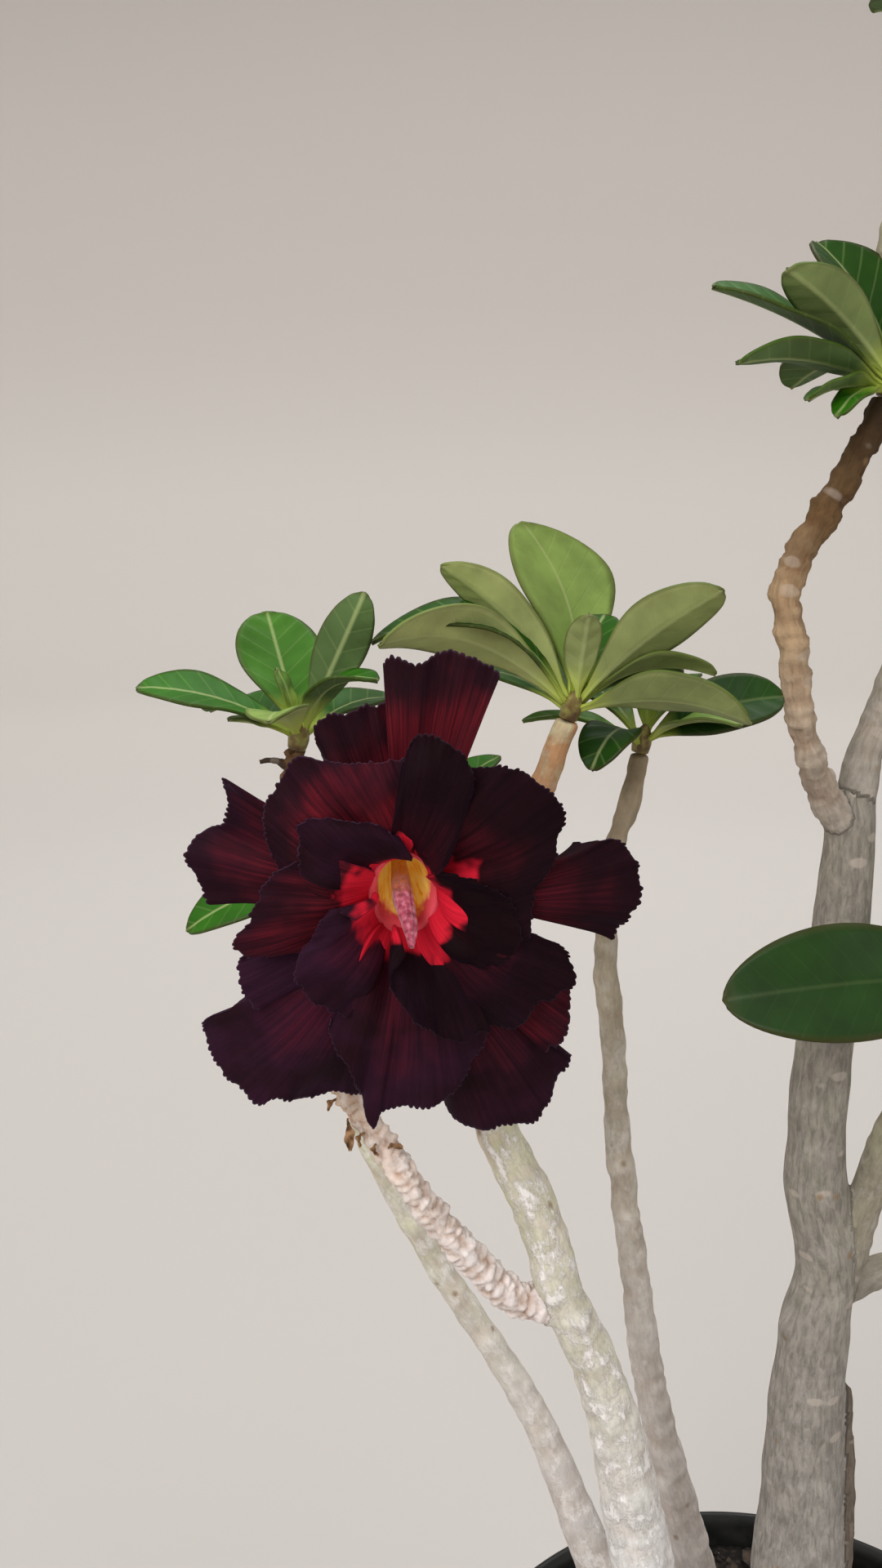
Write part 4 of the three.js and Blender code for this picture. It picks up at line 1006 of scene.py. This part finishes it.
# Broad patches decide where the red runs far and where it stops short.
patches = add(tree, "TexNoise", {"Vector": place, "Scale": 1 / (11 * MM), "Detail": 2})
patch_push = add(tree, "MapRange", (patches, 0.3, 0.7, -0.25, 0.25))
red_end = add(tree, "Math", (look.outputs["X"], patch_push), operation="ADD")
red_room = add(tree, "Math", (red_end, reach), operation="SUBTRACT")
red_fade = add(tree, "MapRange", (red_room, -0.05, 0.5), interpolation_type="SMOOTHSTEP")
vein_share = add(tree, "MapRange", (veins, 0.36, 0.66, 0.3, 1))
red_veined = add(tree, "Math", (red_fade, vein_share), operation="MULTIPLY")
red_share = add(tree, "Math", (red_veined, look.outputs["Y"]), operation="MULTIPLY")
# Painted bluish sheen: a purple is mixed into the maroon base colour in broad patches, as strong as each
# petal's look says.
painted_sheen_patch = add(tree, "MapRange", (patches, 0.35, 0.6))
painted_sheen_share = add(tree, "Math", (painted_sheen_patch, look.outputs["Z"]), operation="MULTIPLY")
maroon = add(tree, "Mix", {
    "Factor": painted_sheen_share, 6: paint("#1e0910"), 7: paint("#2c1326")}, data_type="RGBA")

# Bright red round the throat, with a ragged edge that differs from petal to petal.
from_throat = add(tree, "VectorMath", (place, Vector(BLOOM_AT) * MM), operation="DISTANCE")
ragged = add(tree, "TexNoise", {"Vector": place, "Scale": 1 / (6 * MM), "Detail": 2})
ragged_push = add(tree, "MapRange", (ragged, 0.3, 0.7, -3 * MM, 3 * MM))
heat_end = add(tree, "Math", (heat_and_shade.outputs["X"], ragged_push), operation="ADD")
heat_room = add(tree, "Math", (heat_end, from_throat), operation="SUBTRACT")
hot = add(tree, "MapRange", (heat_room, -1.5 * MM, 1.5 * MM), interpolation_type="SMOOTHSTEP")

vein_tone = add(tree, "MapRange", (veins, 0.3, 0.7, 0.75, 1.22))
margin_line = add(tree, "MapRange", (reach, 0.988, 1.0, 0, 0.4))
# The pale margin line is weakened by the same lightness, so it fades where a petal carries painted shade.
margin_share = add(tree, "Math", (margin_line, heat_and_shade.outputs["Y"]), operation="MULTIPLY")
# The skin's lightness multiplies the colour: partly each petal's own tone, partly painted shade on the petals
# in shadow.
colour = maroon
for share, over, blend in (
        (1, heat_and_shade.outputs["Y"], "MULTIPLY"), (red_share, paint("#5e131c"), "MIX"),
        (hot, paint("#c61c30"), "MIX"), (1, vein_tone, "MULTIPLY"), (margin_share, paint("#4c3a4c"), "MIX")):
    colour = add(tree, "Mix", {"Factor": share, 6: colour, 7: over}, data_type="RGBA", blend_type=blend)

vein_bump = add(tree, "Bump", {"Height": veins, "Strength": 0.45, "Distance": 0.25 * MM})
cells = add(tree, "TexNoise", {"Vector": place, "Scale": 1 / (0.5 * MM), "Detail": 2})
cell_bump = add(tree, "Bump", {
    "Height": cells, "Strength": 0.3, "Distance": 0.12 * MM, "Normal": vein_bump})
feed(shader, {"Base Color": colour, "Normal": cell_bump})

# %% Grow the petals
for piece in (grow_petals("outer_petals", OUTER_PETALS, 0, [petal_velvet]),
              grow_petals("inner_petals", INNER_PETALS, len(OUTER_PETALS), [petal_velvet])):
    report(piece)

# %% [markdown]
# ## Bloom: throat and anthers
# The petals spring from a funnel tube. Its inside is golden, and red near its mouth. Its outside is dull
# green and dark red, so the tube has two skins. The five anthers stand in it as one cone, and their long
# tails twist together into a pink spear that leans out of the throat.

# %% The funnel tube
TUBE_WALL = 1  # mm


def place_in_bloom(bm):
    """Moves what is built about the Z axis into the bloom's place."""
    bmesh.ops.transform(bm, matrix=BLOOM_PLACE, verts=bm.verts)
    bmesh.ops.recalc_face_normals(bm, faces=bm.faces)


def read_places(tree):
    """The object's coordinates, the bloom's own, whose Z leads out of the throat, and that Z alone."""
    place = add(tree, "TexCoord").outputs["Object"]
    local = add(tree, "Mapping", {
        "Vector": place, "Location": Vector(BLOOM_AT) * MM, "Rotation": BLOOM_PLACE.to_euler()},
        vector_type="TEXTURE")
    return place, local, add(tree, "SeparateXYZ", (local,)).outputs["Z"]


mouth, deep, neck = THROAT_RADIUS, TUBE_LENGTH, NECK_RADIUS
tube_profile = [
    (0, -deep), (neck, -deep), (neck + 0.4, -deep * 0.72), (mouth - 1.5, -deep * 0.42), (mouth, -8),
    (mouth + 0.4, 0), (mouth - TUBE_WALL, 0), (mouth - 1.9, -3), (mouth - 3.4, -7.5), (mouth - 5, -13),
    (neck - 0.9, -20), (neck - 0.9, 3 - deep), (0, 3 - deep),
]
tube_skin, tree, shader = new_material(
    "soft_funnel_skin", Roughness=0.5, IOR=1.4, Specular_IOR_Level=0.2, Subsurface_Weight=0.6,
    Subsurface_Radius=(2.5 * MM, 1.6 * MM, 0.6 * MM), Subsurface_Scale=1)
place, local, depth = read_places(tree)
wander = add(tree, "TexNoise", {"Vector": place, "Scale": 1 / (2.5 * MM), "Detail": 2})
wander_push = add(tree, "MapRange", (wander, 0, 1, -3 * MM, 3 * MM))
height = add(tree, "Math", (depth, wander_push), operation="ADD")
gold_share = add(tree, "MapRange", (height, -5.5 * MM, -3 * MM, 1, 0))
guides = add(tree, "Mapping", {"Vector": local, "Scale": (1 / (0.9 * MM), 1 / (0.9 * MM), 1 / (16 * MM))})
guide = add(tree, "TexNoise", {"Vector": guides, "Scale": 1, "Detail": 2})
gold = add(tree, "ValToRGB", (guide,), stops=((0.34, "#e0a834"), (0.6, "#ffe27a"), (0.46, "#ffd254")))
inside = add(tree, "Mix", {"Factor": gold_share, 6: paint("#e0505c"), 7: gold}, data_type="RGBA")
# A faint painted glow in the gold stands in for daylight through the thin wall, so the throat's depth isn't
# dark.
painted_glow = add(tree, "Math", (gold_share, 0.09), operation="MULTIPLY")
guide_bump = add(tree, "Bump", {"Height": guide, "Strength": 0.5, "Distance": 0.25 * MM})
feed(shader, {
    "Base Color": inside, "Emission Color": gold, "Emission Strength": painted_glow, "Normal": guide_bump})

# Outside, the funnel is dull green at the calyx and flushes dark red towards the petals.
tube_outside, tree, shader = new_material(
    "soft_funnel_outside", Roughness=0.6, IOR=1.4, Specular_IOR_Level=0.2)
_, _, depth = read_places(tree)
flush = add(tree, "MapRange", (depth, -22 * MM, -3 * MM))
flushed = add(tree, "ValToRGB", (flush,), stops=((0, "#868a4c"), (1, "#4a1420"), (0.5, "#7e4438")))
feed(shader, {"Base Color": flushed})

bm = bmesh.new()
spin_profile(bm, tube_profile, 56)
bmesh.ops.recalc_face_normals(bm, faces=bm.faces)
for face in bm.faces:
    looks_outward = face.normal.dot(face.calc_center_median()) > 0
    face.material_index = int(looks_outward)
for vert in bm.verts:
    oval = smooth_step(-20, -4, vert.co.z / MM)
    vert.co.x = vert.co.x * (1 - oval * (1 - MOUTH_SHAPE[0])) + MOUTH_SHIFT[0] * oval * MM
    vert.co.y = vert.co.y * (1 - oval * (1 - MOUTH_SHAPE[1])) + MOUTH_SHIFT[1] * oval * MM
place_in_bloom(bm)
tube = make_piece("funnel_tube", bm, [tube_skin, tube_outside], "corolla")
report(tube)

# %% The anther cone
ANTHERS = [  # the cone's middle line in the bloom, and its radius, in mm
    (0, 0, -27.5, 1.1), (0, 0.8, -19, 1.2), (0, 2.2, -10, 1.5), (0, 0.5, -1, 2.0), (1, -3, 6, 1.3),
    (1, -5, 10, 0.3),
]
ANTHER_COUNT = 5
anther_skin, tree, shader = new_material("downy_anther_tails", Roughness=0.6, IOR=1.4, Sheen_Weight=0.3)
place, _, height = read_places(tree)
down = add(tree, "TexNoise", {"Vector": place, "Scale": 1 / (1.1 * MM), "Detail": 3})
anther_tone = add(tree, "ValToRGB", (down,), stops=((0.32, "#7c2238"), (0.7, "#cf7f90"), (0.5, "#a8445a")))
golden = add(tree, "MapRange", (height, -5 * MM, 1 * MM, 0.85, 0))
anther_skin_tone = add(tree, "Mix", {
    "Factor": golden, 6: anther_tone, 7: paint("#dc9a3a")}, data_type="RGBA")
down_bump = add(tree, "Bump", {"Height": down, "Strength": 0.5, "Distance": 0.2 * MM})
feed(shader, {"Base Color": anther_skin_tone, "Normal": down_bump})

core = stand_frames(follow(ANTHERS, 0.8))
bm = bmesh.new()
for tail in range(ANTHER_COUNT):
    stations = []
    for step in core[::2]:
        angle = tail * 2 * math.pi / ANTHER_COUNT + 0.045 * step["distance"] / MM
        aside = step["turn"] @ Vector((math.cos(angle), math.sin(angle), 0)) * step["radius"] * 0.5
        stations.append((*((step["place"] + aside) / MM), step["radius"] / MM * 0.56))
    grow_limb(bm, stand_frames(follow(stations, 0.8)), 10)
place_in_bloom(bm)
anthers = make_piece("anther_tails", bm, [anther_skin], "anther_cone")
report(anthers)

# %% [markdown]
# ## Bloom: calyx and stalk
# Behind the tube five narrow sepals hold its foot, on a short green stalk that stands on the branch's stub.
# Stalk, cup and sepals are one growth, so they are fused by a fine remesh.

# %% Calyx
SEPAL = [(0.7, 0, 1.1), (0.9, 4, 1.0), (3, 9, 0.35)]  # lean outward, rise and radius in mm


def grow_calyx():
    """The stalk, the cup and five sepals, fused."""
    foot, inner = -TUBE_LENGTH, NECK_RADIUS + CLEARANCE
    bm = bmesh.new()
    spin_profile(bm, [
        (0, foot - 3), (2.2, foot - 3), (inner + 1.2, foot - 0.8), (inner + 1.3, foot + 1.5),
        (inner, foot + 1.5), (inner, foot - CLEARANCE), (0, foot - CLEARANCE)], 32)
    for i in range(5):
        turn = math.radians(18 + i * 72)
        out = Vector((math.cos(turn), math.sin(turn), 0))
        sepal = [(*(out * (inner + lean)).xy, foot + rise, radius) for lean, rise, radius in SEPAL]
        grow_limb(bm, stand_frames(follow(sepal, 1)), 10)
    place_in_bloom(bm)
    top = BLOOM_PLACE @ Vector((0, 0, (foot - 2) * MM)) / MM
    end, along = stem_end("flower_stub")
    start = end + along * CLEARANCE
    straight = start + along * 3
    bend = top.lerp(start, 0.3)
    stalk = [(*start, 1.7), (*straight, 1.7), (*bend, 1.8), (*top, 2)]
    grow_limb(bm, stand_frames(follow(stalk, 1)), 14)
    bmesh.ops.recalc_face_normals(bm, faces=bm.faces)
    piece = make_piece("calyx_and_stalk", bm, [], "calyx")
    fuse(piece, 0.3, 3)
    return piece


calyx_skin = mottled_material(
    "green_calyx_skin", (4, 3, 0.5), ((0.35, "#5c6a34"), (0.7, "#8a5a4a"), (0.5, "#7f8c46")),
    relief=(0.6, 3, 0.5), bump=(0.5, 0.15), Roughness=0.6, IOR=1.45)
calyx = grow_calyx()
calyx.data.materials.append(calyx_skin)
report(calyx)

# %% [markdown]
# ## Pot
# A nursery pot is injection-moulded from black polypropylene: thin, satin, with a stepped rim band, a few
# low ribs that stiffen it, and drain holes in its floor. Its wall is one profile spun about the axis.

# %% The pot's profile
POT_HEIGHT, RIM_RADIUS, FOOT_RADIUS, POT_WALL, POT_FLOOR = 170, 100, 74, 1.6, 3
RIM_BAND, RIM_STEP = 13, 2.4  # mm
DRAIN_RADIUS, DRAIN_RING, DRAIN_COUNT = 5, 48, 6
RIBS = (118, 128, 138)  # heights of the stiffening ribs


def pot_inner(z):
    """The pot's inner radius at a height."""
    return FOOT_RADIUS + (RIM_RADIUS - RIM_STEP - FOOT_RADIUS) * z / POT_HEIGHT - POT_WALL


def pot_outer(z):
    """The pot's outer radius at a height."""
    return pot_inner(z) + POT_WALL


under_band = POT_HEIGHT - RIM_BAND
pot_profile = [
    (0, 1.2), (FOOT_RADIUS - 8, 1.2), (FOOT_RADIUS - 7, 0), (FOOT_RADIUS - 2, 0), (FOOT_RADIUS - 0.7, 0.8),
    (FOOT_RADIUS, 3),
]
for rib in RIBS:
    pot_profile += [
        (pot_outer(rib - 1.6), rib - 1.6), (pot_outer(rib) + 0.6, rib - 0.8),
        (pot_outer(rib) + 0.6, rib + 0.8), (pot_outer(rib + 1.6), rib + 1.6)]
pot_profile += [
    (pot_outer(under_band - 2), under_band - 2), (RIM_RADIUS - 1.4, under_band - 0.6),
    (RIM_RADIUS - 0.7, under_band), (RIM_RADIUS - 0.4, under_band + 0.6), (RIM_RADIUS, POT_HEIGHT - 2),
    (RIM_RADIUS - 0.3, POT_HEIGHT - 0.8), (RIM_RADIUS - 1, POT_HEIGHT - 0.1), (RIM_RADIUS - 1.8, POT_HEIGHT),
    (RIM_RADIUS - RIM_STEP - 0.4, POT_HEIGHT - 0.6), (pot_inner(POT_HEIGHT - 3), POT_HEIGHT - 3),
    (pot_inner(POT_FLOOR + 3), POT_FLOOR + 3), (pot_inner(POT_FLOOR) - 2, POT_FLOOR), (0, POT_FLOOR),
]

# %% Spin the pot and drill it
bm = bmesh.new()
spin_profile(bm, pot_profile, 160)
bmesh.ops.recalc_face_normals(bm, faces=bm.faces)
moulded, tree, shader = new_material(
    "satin_black_polypropylene", Roughness=0.4, IOR=1.49, Specular_IOR_Level=0.3)
place = add(tree, "TexCoord").outputs["Object"]
dust = add(tree, "TexNoise", {"Vector": place, "Scale": 1 / (16 * MM), "Detail": 6, "Roughness": 0.7})
dusty = add(tree, "MapRange", (dust, 0.48, 0.75, 0, 0.14))
pot_tone = add(tree, "Mix", {"Factor": dusty, 6: paint("#0c0d0c"), 7: paint("#57534b")}, data_type="RGBA")
gloss = add(tree, "MapRange", (dust, 0.4, 0.7, 0.34, 0.6))
orange_peel = add(tree, "TexNoise", {"Vector": place, "Scale": 1 / (1.5 * MM), "Detail": 2})
peel_bump = add(tree, "Bump", {"Height": orange_peel, "Strength": 0.25, "Distance": 0.08 * MM})
feed(shader, {"Base Color": pot_tone, "Roughness": gloss, "Normal": peel_bump})
pot = make_piece("nursery_pot", bm, [moulded], "pot")

drill = bmesh.new()
for i in range(DRAIN_COUNT):
    angle = 2 * math.pi * i / DRAIN_COUNT
    spot = Matrix.Translation((DRAIN_RING * MM * math.cos(angle), DRAIN_RING * MM * math.sin(angle), 2 * MM))
    bmesh.ops.create_cone(
        drill, cap_ends=True, segments=32, radius1=DRAIN_RADIUS * MM, radius2=DRAIN_RADIUS * MM,
        depth=10 * MM, matrix=spot)
driller = new_object("drill", drill)
holes = pot.modifiers.new("Drain holes", "BOOLEAN")
holes.object = driller
holes.solver = "EXACT"
apply_modifiers(pot)
bpy.data.objects.remove(driller)
report(pot)

# %% [markdown]
# ## Soil
# Potting mix is dark, damp and coarse: coir and composted bark with pale grit in it. A grid is pressed into
# a disc, heaped and roughened with noise, and closed below. Crumbs, bark chips and grit then lie on it.

# %% The soil's surface
SOIL_TOP = POT_HEIGHT - 10
SOIL_RADIUS = pot_inner(SOIL_TOP) - CLEARANCE
CAUDEX_ROOM = 41  # mm from the axis, within which nothing lies


def soil_height(x, y):
    """The soil's height at a place: low mounds, then coarse crumbs, in mm."""
    edge = 1 - (math.hypot(x, y) / SOIL_RADIUS) ** 4
    mound = 1.5 * edge * (math.sin(x * 0.11 + 1) * math.cos(y * 0.13) + 0.6 * math.sin(x * 0.31 - y * 0.27))
    crumb = 1.3 * noise.noise(Vector((x, y, 0)) / 4.5) + 0.7 * noise.noise(Vector((x, y, 5)) / 1.8)
    return SOIL_TOP + mound + crumb - 0.3


bm = bmesh.new()
bmesh.ops.create_grid(bm, x_segments=150, y_segments=150, size=1)
for vert in bm.verts:
    x, y = vert.co.x, vert.co.y
    px, py = x * math.sqrt(1 - y * y / 2) * SOIL_RADIUS, y * math.sqrt(1 - x * x / 2) * SOIL_RADIUS
    vert.co = Vector((px, py, soil_height(px, py))) * MM
rim = [edge for edge in bm.edges if edge.is_boundary]
wall = bmesh.ops.extrude_edge_only(bm, edges=rim)["geom"]
low_verts = [part for part in wall if isinstance(part, bmesh.types.BMVert)]
shrink = (pot_inner(POT_FLOOR) - 2.5) / SOIL_RADIUS
for vert in low_verts:
    vert.co = Vector((vert.co.x * shrink, vert.co.y * shrink, (POT_FLOOR + CLEARANCE) * MM))
bmesh.ops.holes_fill(bm, edges=[edge for edge in bm.edges if edge.is_boundary], sides=0)
bmesh.ops.recalc_face_normals(bm, faces=bm.faces)

potting_mix = mottled_material(
    "damp_coir_and_bark_mix", (2.2, 6, 0.7), ((0.3, "#0c0a08"), (0.74, "#4a4038"), (0.56, "#1e1814")),
    bump=(0.9, 0.8), Roughness=0.95, IOR=1.4)
soil = make_piece("potting_soil", bm, [potting_mix], "soil")
report(soil)


# %% Crumbs, chips and grit
def scatter(name, count, sizes, squash, grain, seed):
    """Small rough grains strewn on the soil, clear of the plant's base. A grain is what its skin is like."""
    luck = random.Random(seed)
    bm = bmesh.new()
    for _ in range(count):
        angle = luck.uniform(0, 2 * math.pi)
        radius = math.sqrt(luck.uniform((CAUDEX_ROOM / SOIL_RADIUS) ** 2, 0.95)) * SOIL_RADIUS
        x, y = radius * math.cos(angle), radius * math.sin(angle)
        size = luck.uniform(*sizes)
        spot = Vector((x, y, soil_height(x, y) + size * 0.12)) * MM
        spin = Matrix.Rotation(luck.uniform(0, 6.28), 4, "Z")
        turn = spin @ Matrix.Rotation(luck.uniform(-0.5, 0.5), 4, "X")
        shape = Matrix.Diagonal((size * MM, size * MM * luck.uniform(0.5, 1), size * MM * squash, 1))
        made = bmesh.ops.create_icosphere(
            bm, subdivisions=1, radius=0.5, matrix=Matrix.Translation(spot) @ turn @ shape)
        for vert in made["verts"]:
            vert.co += Vector([luck.uniform(-0.12, 0.12) * size * MM for _ in range(3)])
    skin, dark, pale, roughness = grain
    material = mottled_material(
        skin, (3, 4, 0.5), ((0.35, dark), (0.65, pale)), relief=(0.6, 2, 0.5), bump=(0.6, 0.2),
        Roughness=roughness, IOR=1.45)
    piece = make_piece(name, bm, [material], None)
    piece.data.shade_flat()
    report(piece)


scatter("soil_crumbs", 1400, (1.5, 4.5), 0.7, ("composted_bark_crumbs", "#0e0b09", "#2b231d", 0.95), 1)
scatter("bark_chips", 260, (4, 9), 0.28, ("pine_bark_chips", "#1b1511", "#473a2f", 0.85), 2)
scatter("pale_grit", 240, (1.2, 3.2), 0.75, ("pumice_grit", "#8a8378", "#c9c3b6", 0.9), 3)

# %% [markdown]
# ## Studio
# The plant stands on a plain pale sweep: a floor that curves up into a wall all round, far enough away that
# the other views can look from any side. Its paint darkens and lightens a little with the distance from the
# plant, which evens out the fall of the light, so that it looks plain. Big soft area lights light it as in
# a bright room, the strongest from the upper left.

# %% The sweep
SWEEP_FLOOR, SWEEP_BEND, SWEEP_TOP = 2200, 900, 3600  # mm
bm = bmesh.new()
bend = [(SWEEP_FLOOR + SWEEP_BEND * math.sin(a), SWEEP_BEND * (1 - math.cos(a)))
        for a in (math.radians(10 * k) for k in range(10))]
spin_profile(bm, [(0, 0), (SWEEP_FLOOR, 0)] + bend[1:] + [(SWEEP_FLOOR + SWEEP_BEND, SWEEP_TOP)], 96)
bmesh.ops.recalc_face_normals(bm, faces=bm.faces)
bmesh.ops.reverse_faces(bm, faces=bm.faces)
sweep = new_object("sweep", bm)
sweep.data.shade_smooth()
sweep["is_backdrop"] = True
plaster, tree, shader = new_material("pale_painted_sweep", Roughness=0.9)
place = add(tree, "TexCoord").outputs["Object"]
away = add(tree, "VectorMath", (place,), operation="LENGTH")
climb = add(tree, "MapRange", (away, 0.5, 3.5))
wall_tone = add(tree, "ValToRGB", (climb,), stops=(
    (0, "#bfbbb7"), (1, "#b6b1ac"), (0.29, "#c7c3bf"), (0.55, "#d5d1cc"), (0.78, "#d3cfca"),
    (0.9, "#c9c4bf")))
wall_tone.color_ramp.interpolation = "EASE"
feed(shader, {"Base Color": wall_tone})
sweep.data.materials.append(plaster)


# %% Lights
LIGHT_SIZE = 1.2  # metres
AIM = (-0.07, 0, 0.4)  # the plant's middle


def soft_light(name, place, aim, power, tint):
    """A square area light at a place in metres, aimed at a point, with its power in watts."""
    light = bpy.data.objects.new(name, bpy.data.lights.new(name, "AREA"))
    light.data.size = LIGHT_SIZE
    light.data.energy = power
    light.data.color = tint
    light.location = place
    light.rotation_euler = (Vector(aim) - Vector(place)).to_track_quat("-Z", "Y").to_euler()
    bpy.context.collection.objects.link(light)


soft_light("key", (-1.0, -1.3, 1.7), AIM, 33, (1, 0.99, 0.98))
soft_light("fill", (1.5, -1.2, 0.9), AIM, 10, (0.97, 0.98, 1))
soft_light("top", (0.2, 0.7, 2.0), AIM, 13, (1, 1, 1))
soft_light("backdrop", (0.2, 1.1, 1.9), (-0.1, 3.0, 0.6), 12, (1, 0.99, 0.98))
world = bpy.data.worlds.new("room_light")
world.use_nodes = True
feed(world.node_tree.nodes["Background"], {"Color": paint("#f1efee"), "Strength": 0.9})
bpy.context.scene.world = world
bpy.context.scene.view_settings.view_transform = "Standard"

# %% [markdown]
# ## Finish
# The visual model has to keep the CAD model's size, so both boxes are written down to be compared.

# %% Sizes and finish
shown_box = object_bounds()
for corner, cad, shown in zip(("lowest", "highest"), cad_box, shown_box):
    print(corner, "corner, shown less CAD, in mm:", [round((s - c) / MM, 1) for s, c in zip(shown, cad)])
